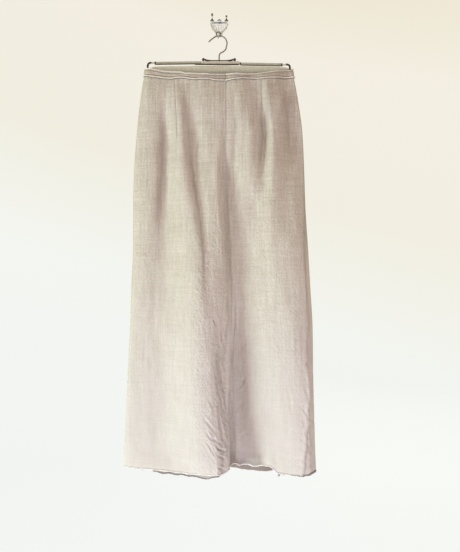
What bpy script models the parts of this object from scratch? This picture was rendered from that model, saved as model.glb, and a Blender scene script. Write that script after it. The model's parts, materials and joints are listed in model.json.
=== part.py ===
"""Long linen wrap skirt with raw edges, hung by its waistband on a telescoping
skirt hanger, whose wire hook hangs from a small wall hook.

Metres, +Z up. The wall is the plane y = 0 and the skirt hangs in front of it,
towards -Y. The origin is on the wall hook's back face. +X is to the right as the
skirt is seen from the front.

The skirt is a flattened tube. Every panel is worked out from SECTIONS: one row of
a table for each height, with the places of the named fold lines on that height.
A place is x (to the right) and d (out from the wall), both in millimetres.
"""
import math

import bmesh
import bpy
import numpy as np
from mathutils import Vector

for old in list(bpy.data.objects):
    bpy.data.objects.remove(old, do_unlink=True)

# ---------------------------------------------------------------- driving sizes
MM = 0.001
CLOTH = 1.2  # thickness of the linen wall, mm
SEAM = 0.4  # gap between two panels along a side seam, mm
BAND_GAP = 0.45  # between a panel and the waistband strip that lies on it, mm
BAND_THICK = 1.1  # thickness of the waistband strip, mm
LAP_TOP = 4.0  # how far the underlap lies behind the overlap at the waist, mm
LAP_LOW = 3.2  # the same further down, mm
CHEEK_X, CHEEK_D = 2.5, 6.0  # how each side seam rounds over, mm
Z_WAIST, Z_HEM = -124.0, -1036.0  # mean height of the top edge and of the hem, mm
ROWS = 16  # rows of facets down a panel, below the first
BAND_ROW = 0.022  # where the first row ends, as a share of the drop: just below the waistband strip
WIRE_R = 1.25  # hanger hook wire, mm
GAP = 0.3  # between hard pieces that touch, mm

# Heights of the section rows, mm below the wall hook.
HEIGHTS = (-124, -200, -268, -348, -440, -532, -623, -715, -806, -898, -989, -1036)

# The outer front panel, from the left side seam to its free edge.
OVERLAP_LINES = ("side", "shoulder", "valley_a", "ridge_a", "valley_b", "ridge_b", "knee", "edge")
OVERLAP_X = (
    (-172, -161, -127, -97, -66, -35, -12, 15),
    (-184, -160, -125, -87, -64, -27, -5, 15),
    (-191, -151, -122, -83, -59, -22, 0, 15),
    (-197, -153, -126, -77, -54, -19, -7, 17),
    (-200, -156, -123, -62, -37, -12, -2, 22),
    (-200, -165, -128, -46, -29, -16, 6, 26),
    (-204, -165, -132, -43, -21, -14, 14, 28),
    (-207, -165, -130, -38, -9, -2, 17, 29),
    (-212, -168, -130, -35, -10, 3, 14, 27),
    (-216, -170, -132, -29, -10, 7, 19, 26),
    (-220, -169, -133, -21, -6, 12, 20, 24),
    (-221, -169, -138, -19, -2, 14, 24, 23),
)
OVERLAP_D = (
    (30, 44, 45, 46, 51, 51, 49, 48),
    (31, 48, 47, 55, 49, 55, 55, 54),
    (32, 47, 42, 58, 45, 54, 54, 52),
    (32, 47, 40, 60, 50, 56, 58, 47),
    (32, 48, 41, 64, 57, 62, 62, 44),
    (32, 47, 42, 70, 66, 65, 63, 46),
    (32, 47, 46, 78, 73, 72, 60, 45),
    (32, 46, 50, 81, 74, 71, 60, 47),
    (32, 46, 49, 84, 81, 70, 60, 50),
    (32, 46, 49, 87, 85, 74, 60, 50),
    (32, 47, 51, 89, 88, 72, 62, 56),
    (32, 51, 57, 84, 89, 75, 64, 61),
)

# The inner front panel, where it shows: from under the free edge to the right side seam.
UNDERLAP_LINES = ("lap", "valley_c", "slope", "ridge_c", "valley_d", "ridge_d", "fall", "corner", "side")
UNDERLAP_X = (
    (24, 36, 53, 69, 94, 110, 133, 153, 172),
    (24, 36, 52, 62, 99, 118, 150, 164, 186),
    (24, 36, 53, 72, 109, 125, 158, 169, 195),
    (25, 33, 49, 72, 105, 124, 160, 172, 199),
    (28, 35, 59, 84, 100, 120, 155, 171, 202),
    (32, 39, 65, 89, 105, 125, 150, 186, 208),
    (34, 41, 69, 95, 110, 128, 156, 194, 213),
    (35, 42, 69, 100, 112, 132, 169, 194, 218),
    (34, 43, 68, 101, 116, 139, 179, 201, 219),
    (33, 44, 71, 105, 123, 147, 187, 206, 221),
    (31, 47, 77, 111, 131, 154, 188, 195, 223),
    (31, 55, 87, 114, 134, 155, 182, 195, 225),
)
UNDERLAP_D = (
    (46, 48, 48, 46, 47, 45, 43, 36, 30),
    (52, 53, 56, 55, 45, 57, 48, 36, 31),
    (50, 49, 54, 59, 45, 58, 44, 32, 31),
    (45, 44, 51, 60, 53, 65, 50, 46, 32),
    (42, 42, 46, 49, 57, 65, 58, 56, 33),
    (41, 37, 41, 52, 58, 66, 67, 61, 34),
    (39, 35, 45, 55, 60, 68, 72, 67, 36),
    (39, 33, 45, 58, 63, 70, 77, 71, 38),
    (39, 31, 42, 58, 64, 72, 79, 73, 40),
    (37, 29, 43, 59, 64, 73, 80, 75, 41),
    (39, 26, 39, 60, 66, 74, 84, 83, 43),
    (43, 26, 35, 63, 70, 76, 83, 80, 44),
)

# The underlap's hidden free edge, behind the overlap: x at each height.
HIDDEN_EDGE_X = (-141, -141, -141, -142, -143, -145, -147, -149, -150, -151, -152, -152)

# The back panel, from the right side seam to the left one.
BACK_LINES = ("side_right", "flank_right", "fold_1", "hollow_1", "fold_2", "hollow_2", "fold_3", "flank_left", "side_left")
BACK_X = (
    (172, 152, 118, 82, 40, 2, -50, -150, -172),
    (186, 160, 120, 84, 42, 0, -54, -156, -184),
    (195, 166, 122, 86, 44, -4, -58, -160, -191),
    (199, 170, 124, 86, 44, -8, -62, -164, -197),
    (202, 174, 126, 86, 42, -12, -68, -168, -200),
    (208, 178, 130, 88, 40, -16, -74, -170, -200),
    (213, 182, 134, 90, 38, -20, -80, -174, -204),
    (218, 186, 138, 92, 38, -24, -84, -176, -207),
    (219, 188, 142, 96, 38, -26, -88, -180, -212),
    (221, 190, 146, 98, 38, -28, -92, -184, -216),
    (223, 192, 150, 100, 38, -30, -96, -186, -220),
    (225, 194, 152, 102, 38, -30, -98, -188, -221),
)
BACK_D = (
    (30, 18, 13, 13, 12, 13, 13, 18, 30),
    (31, 17, 12, 14, 12, 14, 12, 17, 31),
    (31, 17, 11, 15, 11, 15, 12, 17, 32),
    (32, 17, 11, 16, 11, 16, 12, 17, 32),
    (33, 17, 11, 16, 11, 16, 11, 17, 32),
    (34, 18, 11, 15, 10, 16, 11, 16, 32),
    (36, 18, 11, 15, 10, 16, 10, 16, 32),
    (38, 19, 10, 15, 10, 15, 10, 16, 32),
    (40, 20, 10, 14, 9, 15, 10, 16, 32),
    (41, 20, 9, 14, 9, 15, 9, 16, 32),
    (43, 21, 9, 13, 8, 14, 9, 16, 32),
    (44, 21, 9, 13, 8, 14, 9, 16, 32),
)

# Top edge of the waistband and hem: (x, z) along each, mm. The front dips and the back stands higher.
TOP_FRONT = ((-175, -110), (-157, -112.5), (-117, -119.5), (-80, -123), (-43, -125), (15, -126), (72, -124), (123, -118), (158, -112.5), (175, -110))
TOP_BACK = ((-175, -110), (-165, -103.5), (-150, -98.2), (-110, -95.2), (0, -93.4), (110, -95.4), (150, -98.8), (165, -104), (175, -110))
BAND_HEIGHT = ((-175, 13), (-110, 15), (-60, 14), (40, 13.5), (107, 15.5), (175, 17))
HEM_OVERLAP = ((-222, -1034), (-145, -1035), (-63, -1036), (-7, -1036), (22, -1033))
HEM_UNDERLAP = ((-152, -1040), (-60, -1041), (0, -1038), (22, -1031), (31, -1026), (49, -1028), (68, -1030), (86, -1027), (100, -1028), (117, -1032), (134, -1036), (161, -1037), (195, -1039), (225, -1043))
HEM_BACK = ((-222, -1034), (-150, -1040), (-60, -1042), (20, -1044), (60, -1050), (105, -1054), (140, -1050), (200, -1044), (225, -1043))


# ---------------------------------------------------------------- curves and sections
def smooth(xs, ys, at):
    """A smooth curve through (xs, ys), flat at each peak and trough, read at the places at."""
    xs, ys, at = (np.asarray(a, float) for a in (xs, ys, at))
    h = np.diff(xs)
    s = np.diff(ys) / h
    m = np.zeros(len(xs))
    for i in range(1, len(xs) - 1):
        if s[i - 1] * s[i] > 0:
            w1, w2 = 2 * h[i] + h[i - 1], h[i] + 2 * h[i - 1]
            m[i] = (w1 + w2) / (w1 / s[i - 1] + w2 / s[i])
    m[0], m[-1] = s[0], s[-1]
    i = np.clip(np.searchsorted(xs, at, side="right") - 1, 0, len(xs) - 2)
    t = np.clip((at - xs[i]) / h[i], 0, 1)
    a, b = ys[i], ys[i + 1]
    return (2 * t**3 - 3 * t**2 + 1) * a + (t**3 - 2 * t**2 + t) * h[i] * m[i] + (3 * t**2 - 2 * t**3) * b + (t**3 - t**2) * h[i] * m[i + 1]


def row_at(table, z):
    """One row of a table of heights, read at height z."""
    rev = HEIGHTS[::-1]
    z = min(max(z, rev[0]), rev[-1])
    return np.array([float(smooth(rev, [row[k] for row in table][::-1], [z])[0]) for k in range(len(table[0]))])


def through(knots, n):
    """The smooth open curve through (x, d) knots as n + 1 points an equal way apart."""
    knots = np.asarray(knots, float)
    run = np.concatenate([[0], np.cumsum(np.hypot(*np.diff(knots, axis=0).T))])
    t = np.linspace(0, run[-1], 600)
    xs, ds = smooth(run, knots[:, 0], t), smooth(run, knots[:, 1], t)
    arc = np.concatenate([[0], np.cumsum(np.hypot(np.diff(xs), np.diff(ds)))])
    at = np.linspace(0, arc[-1], n + 1)
    return np.stack([np.interp(at, arc, xs), np.interp(at, arc, ds)], axis=1)


def overlap_knots(z):
    x, d = row_at(OVERLAP_X, z), row_at(OVERLAP_D, z)
    k = [(x[0], d[0] + SEAM / 2), (x[0] + CHEEK_X, d[0] + CHEEK_D)]
    return k + list(zip(x[1:], d[1:]))


def underlap_knots(z):
    """It runs a little inside the overlap, then out from under its free edge."""
    over = np.stack([row_at(OVERLAP_X, z), row_at(OVERLAP_D, z)], axis=1)
    x, d = row_at(UNDERLAP_X, z), row_at(UNDERLAP_D, z)
    lap = float(np.interp(z, (-220, -150), (LAP_LOW, LAP_TOP)))
    line = through(overlap_knots(z), 200)
    hx = float(smooth(HEIGHTS[::-1], HIDDEN_EDGE_X[::-1], [z])[0])
    k = [(hx, float(np.interp(hx, line[:, 0], line[:, 1])) - lap)]
    for i, more in ((2, 0), (3, 0), (4, 0), (5, 0.3), (6, 1.0), (7, 0.6)):
        way = over[min(i + 1, 7)] - over[i - 1]
        at = over[i] + np.array([way[1], -way[0]]) / np.hypot(*way) * (lap + more)
        if k[-1][0] + 6 < at[0] < x[0] - 4:
            k.append((float(at[0]), float(at[1])))
    k += list(zip(x[:-1], d[:-1]))
    return k + [(x[-1] - CHEEK_X, d[-1] + CHEEK_D), (x[-1], d[-1] + SEAM / 2)]


def back_knots(z):
    x, d = row_at(BACK_X, z), row_at(BACK_D, z)
    k = [(x[0], d[0] - SEAM / 2), (x[0] - CHEEK_X, d[0] - CHEEK_D)]
    k += list(zip(x[1:-1], d[1:-1]))
    return k + [(x[-1] + CHEEK_X, d[-1] - CHEEK_D), (x[-1], d[-1] - SEAM / 2)]


def panel_surface(knots_at, top, hem, columns, drops):
    """A panel's outer face: a grid of points, one row for each drop from 0 (top edge) to 1 (hem)."""
    grid = np.zeros((len(drops), columns + 1, 3))
    for r, v in enumerate(drops):
        mean = Z_WAIST + (Z_HEM - Z_WAIST) * (v if np.isscalar(v) else float(np.mean(v)))
        line = through(knots_at(mean), columns)
        z_top = np.interp(line[:, 0], *zip(*top))
        z_hem = np.interp(line[:, 0], *zip(*hem))
        grid[r, :, 0] = line[:, 0]
        grid[r, :, 1] = -line[:, 1]
        grid[r, :, 2] = z_top + (z_hem - z_top) * v
    return grid


def normals(grid):
    """Unit normals of a panel's grid, pointing out of the skirt. Along a side seam they point straight sideways."""
    du = np.gradient(grid, axis=1)
    dv = np.gradient(grid, axis=0)
    n = np.cross(dv, du)
    n /= np.linalg.norm(n, axis=2, keepdims=True)
    for c in (0, -1):
        if abs(grid[0, c, 0]) > 160:
            n[:, c] = (math.copysign(1, grid[0, c, 0]), 0, 0)
    return n


# ---------------------------------------------------------------- making objects
def material(name, color, roughness, metallic=0.0):
    m = bpy.data.materials.new(name)
    m.use_nodes = True
    p = m.node_tree.nodes["Principled BSDF"]
    p.inputs["Base Color"].default_value = (*color, 1)
    p.inputs["Roughness"].default_value = roughness
    p.inputs["Metallic"].default_value = metallic
    m.diffuse_color = (*color, 1)
    return m


LINEN = (0.60, 0.55, 0.48)
BAND_LINEN = (0.56, 0.51, 0.44)
STEEL = (0.42, 0.40, 0.37)
BLACK = (0.03, 0.028, 0.025)
PALE_PLASTIC = (0.72, 0.72, 0.69)


def put(name, bm, color, roughness=0.9, metallic=0.0, soft=False):
    bmesh.ops.recalc_face_normals(bm, faces=bm.faces)
    mesh = bpy.data.meshes.new(name)
    bm.to_mesh(mesh)
    bm.free()
    if soft:
        mesh.shade_smooth()
        mesh.set_sharp_from_angle(angle=math.radians(40))
    o = bpy.data.objects.new(name, mesh)
    bpy.context.scene.collection.objects.link(o)
    mesh.materials.append(material(name, color, roughness, metallic))
    return o


def wall(name, outer, inner, color):
    """A closed wall between two grids of points (mm)."""
    bm = bmesh.new()
    rows, cols = outer.shape[:2]
    a = [[bm.verts.new(outer[r, c] * MM) for c in range(cols)] for r in range(rows)]
    b = [[bm.verts.new(inner[r, c] * MM) for c in range(cols)] for r in range(rows)]
    for r in range(rows - 1):
        for c in range(cols - 1):
            bm.faces.new((a[r][c], a[r][c + 1], a[r + 1][c + 1], a[r + 1][c]))
            bm.faces.new((b[r][c], b[r + 1][c], b[r + 1][c + 1], b[r][c + 1]))
    for c in range(cols - 1):
        bm.faces.new((a[0][c + 1], a[0][c], b[0][c], b[0][c + 1]))
        bm.faces.new((a[-1][c], a[-1][c + 1], b[-1][c + 1], b[-1][c]))
    for r in range(rows - 1):
        bm.faces.new((a[r][0], a[r + 1][0], b[r + 1][0], b[r][0]))
        bm.faces.new((a[r + 1][-1], a[r][-1], b[r][-1], b[r + 1][-1]))
    return put(name, bm, color, soft=True)


def panel(name, knots_at, top, hem, columns):
    """A panel of cloth, and the waistband strip on it: the panel's own points, moved out."""
    drops = [0, BAND_ROW] + list(np.linspace(BAND_ROW, 1, ROWS)[1:])
    outer = panel_surface(knots_at, top, hem, columns, drops)
    out = normals(outer)
    wall(name, outer, outer - out * CLOTH, LINEN)
    tall = np.interp(outer[0, :, 0], *zip(*BAND_HEIGHT))
    part = (tall / (outer[0, :, 2] - outer[1, :, 2]))[:, None]
    face = np.stack([outer[0], outer[0] + (outer[1] - outer[0]) * part])
    lift = np.stack([out[0], out[0] + (out[1] - out[0]) * part])
    wall("waistband_" + name.replace("front_", ""), face + lift * (BAND_GAP + BAND_THICK), face + lift * BAND_GAP, BAND_LINEN)


def round_path(points, sub):
    """More points on the smooth curve through points (x, d, z in mm), as Vectors."""
    p = [Vector(q) for q in points]
    out = []
    for i in range(len(p) - 1):
        p0, p1, p2, p3 = p[max(i - 1, 0)], p[i], p[i + 1], p[min(i + 2, len(p) - 1)]
        for s in range(sub):
            t = s / sub
            out.append(0.5 * ((2 * p1) + (p2 - p0) * t + (2 * p0 - 5 * p1 + 4 * p2 - p3) * t * t + (3 * p1 - p0 - 3 * p2 + p3) * t**3))
    return out + [p[-1]]


def tube_mesh(bm, points, radii, sides):
    """A closed round tube along points (x, d, z in mm)."""
    pts = [Vector((q[0], -q[1], q[2])) * MM for q in points]
    radii = [r * MM for r in (radii if hasattr(radii, "__len__") else [radii] * len(pts))]
    up = Vector((0, 1, 0))
    rings = []
    for i, p in enumerate(pts):
        d = (pts[min(i + 1, len(pts) - 1)] - pts[max(i - 1, 0)]).normalized()
        if abs(d.dot(up)) > 0.98:
            up = Vector((1, 0, 0))
        side = d.cross(up).normalized()
        up = side.cross(d).normalized()
        rings.append([bm.verts.new(p + (side * math.cos(a) + up * math.sin(a)) * radii[i]) for a in (2 * math.pi * k / sides for k in range(sides))])
    for one, two in zip(rings, rings[1:]):
        for k in range(sides):
            bm.faces.new((one[k], one[(k + 1) % sides], two[(k + 1) % sides], two[k]))
    bm.faces.new(rings[0][::-1])
    bm.faces.new(rings[-1])


def tube(name, points, radii, sides, color, roughness, metallic):
    bm = bmesh.new()
    tube_mesh(bm, points, radii, sides)
    return put(name, bm, color, roughness, metallic, soft=True)


def block(name, x, d, z, color, roughness, metallic, bevel=0.6, slant=0.0):
    """A bevelled bar from x[0] to x[1], d[0] to d[1], z[0] to z[1] (mm). Its right end is slant higher."""
    bm = bmesh.new()
    bmesh.ops.create_cube(bm, size=1)
    for v in bm.verts:
        t = v.co.x + 0.5
        v.co = Vector((x[0] + (x[1] - x[0]) * t, -(d[0] + (d[1] - d[0]) * (0.5 - v.co.y)), z[0] + (z[1] - z[0]) * (v.co.z + 0.5) + slant * t)) * MM
    bmesh.ops.bevel(bm, geom=bm.edges[:], offset=bevel * MM, segments=1, affect="EDGES", profile=0.5)
    return put(name, bm, color, roughness, metallic)


def turned(name, profile, centre, axis, sides, color, roughness, metallic):
    """A solid of revolution: profile is (along, radius) in mm from centre along axis."""
    bm = bmesh.new()
    c = Vector((centre[0], -centre[1], centre[2]))
    a = Vector(axis).normalized()
    u = a.orthogonal().normalized()
    w = a.cross(u)
    rings = []
    for s, r in profile:
        if r == 0:
            rings.append([bm.verts.new((c + a * s) * MM)])
        else:
            rings.append([bm.verts.new((c + a * s + (u * math.cos(t) + w * math.sin(t)) * r) * MM) for t in (2 * math.pi * k / sides for k in range(sides))])
    for one, two in zip(rings, rings[1:]):
        for k in range(sides):
            j = (k + 1) % sides
            face = [one[k % len(one)], one[j % len(one)], two[j % len(two)], two[k % len(two)]]
            bm.faces.new(list(dict.fromkeys(face)))
    if len(rings[0]) > 1:
        bm.faces.new(rings[0][::-1])
    if len(rings[-1]) > 1:
        bm.faces.new(rings[-1])
    return put(name, bm, color, roughness, metallic, soft=True)


# ---------------------------------------------------------------- the skirt
panel("front_overlap", overlap_knots, TOP_FRONT, HEM_OVERLAP, 22)
panel("front_underlap", underlap_knots, TOP_FRONT, HEM_UNDERLAP, 30)
panel("back", back_knots, TOP_BACK, HEM_BACK, 24)

# ---------------------------------------------------------------- the hanger
HOOK_CENTRE = (0.6, -45.5)  # x, z of the middle of the wire's bend
HOOK_RADIUS = 18.5
HOOK_D = 24.0  # how far the bend hangs out from the wall
BAR_D = 29.0  # middle of the bar, out from the wall
HOUSING = ((-40.5, 48.3), (26.6, 31.4), (-95.2, -89.4))
BAR_HEIGHT = 5.8
BAR_THICK = 3.0

bend = [(HOOK_CENTRE[0] + HOOK_RADIUS * math.cos(math.radians(t)), HOOK_D, HOOK_CENTRE[1] + HOOK_RADIUS * math.sin(math.radians(t))) for t in range(132, -28, -12)]
route = round_path([(-23.8, HOOK_D, -41.5), (-18.6, HOOK_D, -36.6)], 1) + [Vector(q) for q in bend]
route += round_path([(16.0, 25.5, -59.5), (10.5, 27.0, -65.6), (4.2, 28.4, -69.6), (1.2, 28.8, -74.0), (0.8, 28.8, -80.0), (0.8, 28.8, HOUSING[2][1] + GAP)], 2)
tube("hanger_hook", route, WIRE_R, 8, STEEL, 0.35, 1.0)
block("hanger_housing", *HOUSING, (0.55, 0.52, 0.48), 0.4, 1.0, bevel=0.8)

top = HOUSING[2][1] + GAP + 0.7
release = round_path([(-35.2, 32.0, top + 2.4), (-31.5, 32.0, top + 1.7), (-27.7, 32.0, top + 0.2), (-22.0, 32.0, top), (0.0, 32.0, top), (22.0, 32.0, top), (27.3, 32.0, top + 0.2), (31.8, 32.0, top + 1.6), (36.2, 32.0, top + 2.2)], 2)
wire_r = [0.9 if abs(p.x) > 26 else 0.7 for p in release]
for end, sign in ((0, -1), (-1, 1)):  # each end swells into a ball tip
    tip, ball = release[end], 2.6
    grow = [Vector((tip.x + sign * ball * (1 - math.cos(a)) - sign * 0.6, tip.y, tip.z)) for a in (math.radians(t) for t in (30, 60, 90, 120, 150))]
    sizes = [ball * math.sin(math.radians(t)) for t in (30, 60, 90, 120, 150)]
    if end == 0:
        release, wire_r = grow[::-1] + release[1:], sizes[::-1] + wire_r[1:]
    else:
        release, wire_r = release[:-1] + grow, wire_r[:-1] + sizes
tube("hanger_release_wire", release, wire_r, 8, BLACK, 0.45, 0.0)
tube("hanger_under_wire", [(-55.7, 31.6, -96.4), (-40.0, 31.6, -96.6), (0.0, 31.6, -96.6), (46.0, 31.6, -96.8)], 0.8, 6, BLACK, 0.5, 0.3)
block("hanger_clip", (HOUSING[0][1] + GAP, HOUSING[0][1] + 3.4), (26.2, 32.2), (-97.6, -92.2), BLACK, 0.5, 0.0, bevel=0.5)

ARMS = (  # name, x inner, z inner, x outer, z outer
    ("left", HOUSING[0][0] - GAP, -91.9, -146.8, -93.4),
    ("right", HOUSING[0][1] + 3.4 + GAP, -95.6, 145.2, -97.4),
)
for name, xi, zi, xo, zo in ARMS:
    sign = -1 if xo < 0 else 1
    lo, hi = sorted(((xi, zi), (xo, zo)))
    block("hanger_arm_" + name, (lo[0], hi[0]), (BAR_D - BAR_THICK / 2, BAR_D + BAR_THICK / 2), (lo[1] - BAR_HEIGHT / 2, lo[1] + BAR_HEIGHT / 2), (0.40, 0.38, 0.34), 0.4, 1.0, bevel=0.5, slant=hi[1] - lo[1])
    cap = sorted((xo + sign * GAP, xo + sign * 3.3))
    block("hanger_cap_" + name, cap, (BAR_D - 2.4, BAR_D + 2.4), (zo - 3.3, zo + 3.3), BLACK, 0.5, 0.0, bevel=0.6)
    stub_in, stub_out = xo + sign * (3.3 + GAP), sign * 157.5
    tube("hanger_stub_" + name, [(stub_in, BAR_D, zo + 0.4), (stub_out, BAR_D, zo + 0.8)], 2.0, 8, (0.30, 0.28, 0.26), 0.4, 1.0)
    tip = round_path([(stub_out + sign * GAP, BAR_D, zo + 0.8), (sign * 160.6, BAR_D, zo + 0.9), (sign * 164.4, BAR_D, zo - 1.0), (sign * 166.2, BAR_D, zo - 5.4), (sign * 166.2, BAR_D + 0.2, zo - 11.0), (sign * 165.6, BAR_D + 0.5, zo - 17.5), (sign * 165.2, BAR_D + 0.5, zo - 25.0)], 2)
    tube("hanger_tip_" + name, tip, [2.3] * (len(tip) - 1) + [1.4], 8, BLACK, 0.55, 0.0)

# ---------------------------------------------------------------- the wall hook
PLATE_THICK = 7.5
PLATE_SIDE = (  # outline from the top down to the tip: x left, x right, z
    (-20.6, 22.6, 15.4),
    (-21.0, 23.0, 12.5),
    (-19.9, 21.4, 8.0),
    (-17.0, 19.0, 0.5),
    (-13.4, 14.0, -4.5),
    (-10.4, 10.8, -8.0),
    (-8.0, 8.6, -11.0),
    (-6.8, 7.0, -16.0),
    (-4.6, 4.2, -20.0),
)
PLATE_TOP = PLATE_SIDE[0][2]
bm = bmesh.new()
outline = [(a, z) for a, _, z in PLATE_SIDE] + [(b, z) for _, b, z in PLATE_SIDE[::-1]] + [(9.0, PLATE_TOP), (-8.0, PLATE_TOP)]
back_face = bm.faces.new([bm.verts.new(Vector((x, 0, z)) * MM) for x, z in outline])
more = bmesh.ops.extrude_face_region(bm, geom=[back_face])
front = [v for v in more["geom"] if isinstance(v, bmesh.types.BMVert)]
bmesh.ops.translate(bm, verts=front, vec=(0, -PLATE_THICK * MM, 0))
rim = [e for e in bm.edges if all(v in front for v in e.verts)]
bmesh.ops.bevel(bm, geom=rim, offset=1.6 * MM, segments=2, affect="EDGES", profile=0.5)
put("wall_hook_plate", bm, PALE_PLASTIC, 0.35)

PRONG_X = -0.6
prong = [Vector((PRONG_X, PLATE_THICK + GAP, -16.0))] + round_path([(PRONG_X, PLATE_THICK + 1.6, -16.0), (PRONG_X, PLATE_THICK + 3.8, -18.2), (PRONG_X, 14.2, -25.8), (PRONG_X, 19.0, -30.0), (PRONG_X, 24.0, -31.0), (PRONG_X, 28.6, -30.6), (PRONG_X, 31.0, -30.0)], 2)
size = [2.4] * len(prong)
knob = 6.2
for t in (22, 44, 66, 90, 114, 138, 160):  # the prong ends in a round knob
    a = math.radians(t)
    prong.append(Vector((PRONG_X, 36.6 - knob * math.cos(a), -29.4 - 0.08 * knob * math.cos(a))))
    size.append(knob * math.sin(a))
tube("wall_hook_prong", prong, size, 12, PALE_PLASTIC, 0.3, 0.0)

for name, x, z_head, half in (("left", -16.4, 32.2, 3.4), ("right", 17.6, 28.0, 2.6)):
    turned("wall_hook_collar_" + name, ((0, 4.3), (1.8, 4.1), (4.6, 2.6), (7.0, 1.5)), (x, 5.0, PLATE_TOP + GAP), (0, 0, 1), 12, (0.34, 0.33, 0.31), 0.4, 1.0)
    foot = PLATE_TOP + GAP + 7.0 + GAP
    run = z_head - foot
    turned("wall_hook_pin_" + name, ((0, 0.8), (run - half, 0.8), (run - half + 0.4, 1.6), (run - half * 0.4, 2.4), (run + half * 0.4, 2.3), (run + half * 0.85, 1.3), (run + half, 0)), (x, 5.0, foot), (0, 0, 1), 10, (0.34, 0.33, 0.31), 0.4, 1.0)

turned("wall_hook_boss", ((0, 4.6), (1.5, 4.7), (3.6, 4.0), (5.2, 2.6), (5.9, 1.2), (6.1, 0)), (0.6, 5.0, PLATE_TOP + GAP), (0, 0, 1), 14, (0.60, 0.60, 0.57), 0.35, 0.0)
block("wall_hook_nail", (-3.2, 3.9), (PLATE_THICK + GAP, PLATE_THICK + 1.4), (9.9, 12.5), BLACK, 0.4, 0.0, bevel=0.3)
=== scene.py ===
import json
import math

import bmesh
import bpy
import numpy as np
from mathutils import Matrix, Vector

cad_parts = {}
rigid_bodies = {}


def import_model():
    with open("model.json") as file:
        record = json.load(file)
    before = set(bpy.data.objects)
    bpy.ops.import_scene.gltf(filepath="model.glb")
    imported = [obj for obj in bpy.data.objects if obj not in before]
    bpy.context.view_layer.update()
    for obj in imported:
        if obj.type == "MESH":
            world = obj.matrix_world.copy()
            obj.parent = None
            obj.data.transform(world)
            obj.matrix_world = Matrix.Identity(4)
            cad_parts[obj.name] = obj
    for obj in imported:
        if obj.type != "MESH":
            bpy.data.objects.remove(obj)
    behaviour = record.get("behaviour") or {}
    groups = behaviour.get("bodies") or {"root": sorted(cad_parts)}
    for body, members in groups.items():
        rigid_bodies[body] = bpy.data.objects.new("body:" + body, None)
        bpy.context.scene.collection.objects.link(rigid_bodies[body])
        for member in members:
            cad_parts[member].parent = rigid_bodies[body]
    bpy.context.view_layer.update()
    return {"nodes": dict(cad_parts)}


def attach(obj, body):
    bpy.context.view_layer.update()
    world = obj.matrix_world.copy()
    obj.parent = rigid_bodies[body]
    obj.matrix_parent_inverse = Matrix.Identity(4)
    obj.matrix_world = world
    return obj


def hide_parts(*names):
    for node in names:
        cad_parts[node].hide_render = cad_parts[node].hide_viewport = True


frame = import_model()
scene = bpy.context.scene
MM = 0.001

# Strength of the light and the base colours (linear).
KEY_POWER, LOW_POWER, BACK_POWER, WORLD_POWER, TOP_POWER = 52.5, 21.6, 30.0, 0.45, 9.0
STAGE_COLOR = (0.20, 0.20, 0.19)
LINEN_BASE, LINEN_DEEP = (0.86, 0.79, 0.695), (0.54, 0.47, 0.38)
# painted light: the inside's colours are paler than the linen's
INSIDE_PAINTED_LIGHT_BASE, INSIDE_PAINTED_LIGHT_DEEP = (0.95, 0.94, 0.87), (0.80, 0.77, 0.68)
BAND_BASE, BAND_DEEP = (0.74, 0.67, 0.57), (0.55, 0.485, 0.40)
FRAY_BASE, FRAY_DEEP = (1.0, 0.96, 0.90), (0.93, 0.87, 0.79)
EDGE_BASE, EDGE_DEEP = (0.76, 0.70, 0.62), (0.62, 0.56, 0.48)
# The backdrop from the floor up: paler and cooler below, warmer above.
STAGE_TONES = ((0.0, (0.765, 0.803, 0.807)), (0.22, (0.785, 0.815, 0.798)), (0.50, (0.77, 0.76, 0.68)), (0.85, (0.79, 0.765, 0.69)), (1.0, (0.76, 0.72, 0.61)))

# ---------------------------------------------------------------- camera, light and stage
# The camera looks straight along +Y, from about 1.25 m, level with the middle of the skirt.
CAMERA_AT = (26.1, -1245.0, -591.0)  # mm
LENS = 520.0 / 552.0 * 36.0

cam_data = bpy.data.cameras.new("camera")
cam_data.lens = LENS
cam_data.sensor_width = 36.0
cam_data.clip_end = 50
cam = bpy.data.objects.new("camera", cam_data)
cam.location = Vector(CAMERA_AT) * MM
cam.rotation_euler = (math.radians(90), 0, 0)
scene.collection.objects.link(cam)
scene.camera = cam
scene.view_settings.view_transform = "Standard"
scene.view_settings.look = "None"


def area_light(name, at, aim, size, power, color):
    data = bpy.data.lights.new(name, "AREA")
    data.shape = "RECTANGLE"
    data.size, data.size_y = size
    data.energy = power
    data.color = color
    o = bpy.data.objects.new(name, data)
    o.location = at
    o.rotation_euler = (Vector(aim) - Vector(at)).to_track_quat("-Z", "Y").to_euler()
    scene.collection.objects.link(o)
    o.visible_camera = False
    return o


area_light("key", (-2.3, -0.9, -1.5), (0.0, 0.0, -0.9), (0.7, 0.7), KEY_POWER, (0.76, 0.98, 0.98))
low_fill = area_light("low_fill", (0.25, -1.5, -1.70), (0.0, 0.0, -1.0), (1.4, 0.5), LOW_POWER, (0.63, 0.69, 1.0))
top_fill = area_light("top_fill", (0.10, -1.5, -0.60), (0.0, 0.0, -0.05), (0.7, 0.7), TOP_POWER, (0.95, 1.0, 0.93))
area_light("back_fill", (1.2, 2.6, 0.2), (0.0, 0.0, -0.6), (2.0, 2.0), BACK_POWER, (1.0, 0.98, 0.95))

world = bpy.data.worlds.new("world")
world.use_nodes = True
world.node_tree.nodes["Background"].inputs["Color"].default_value = (1.0, 0.78, 0.52, 1)
world.node_tree.nodes["Background"].inputs["Strength"].default_value = WORLD_POWER
scene.world = world

FLOOR_Z = -1.80


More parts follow.
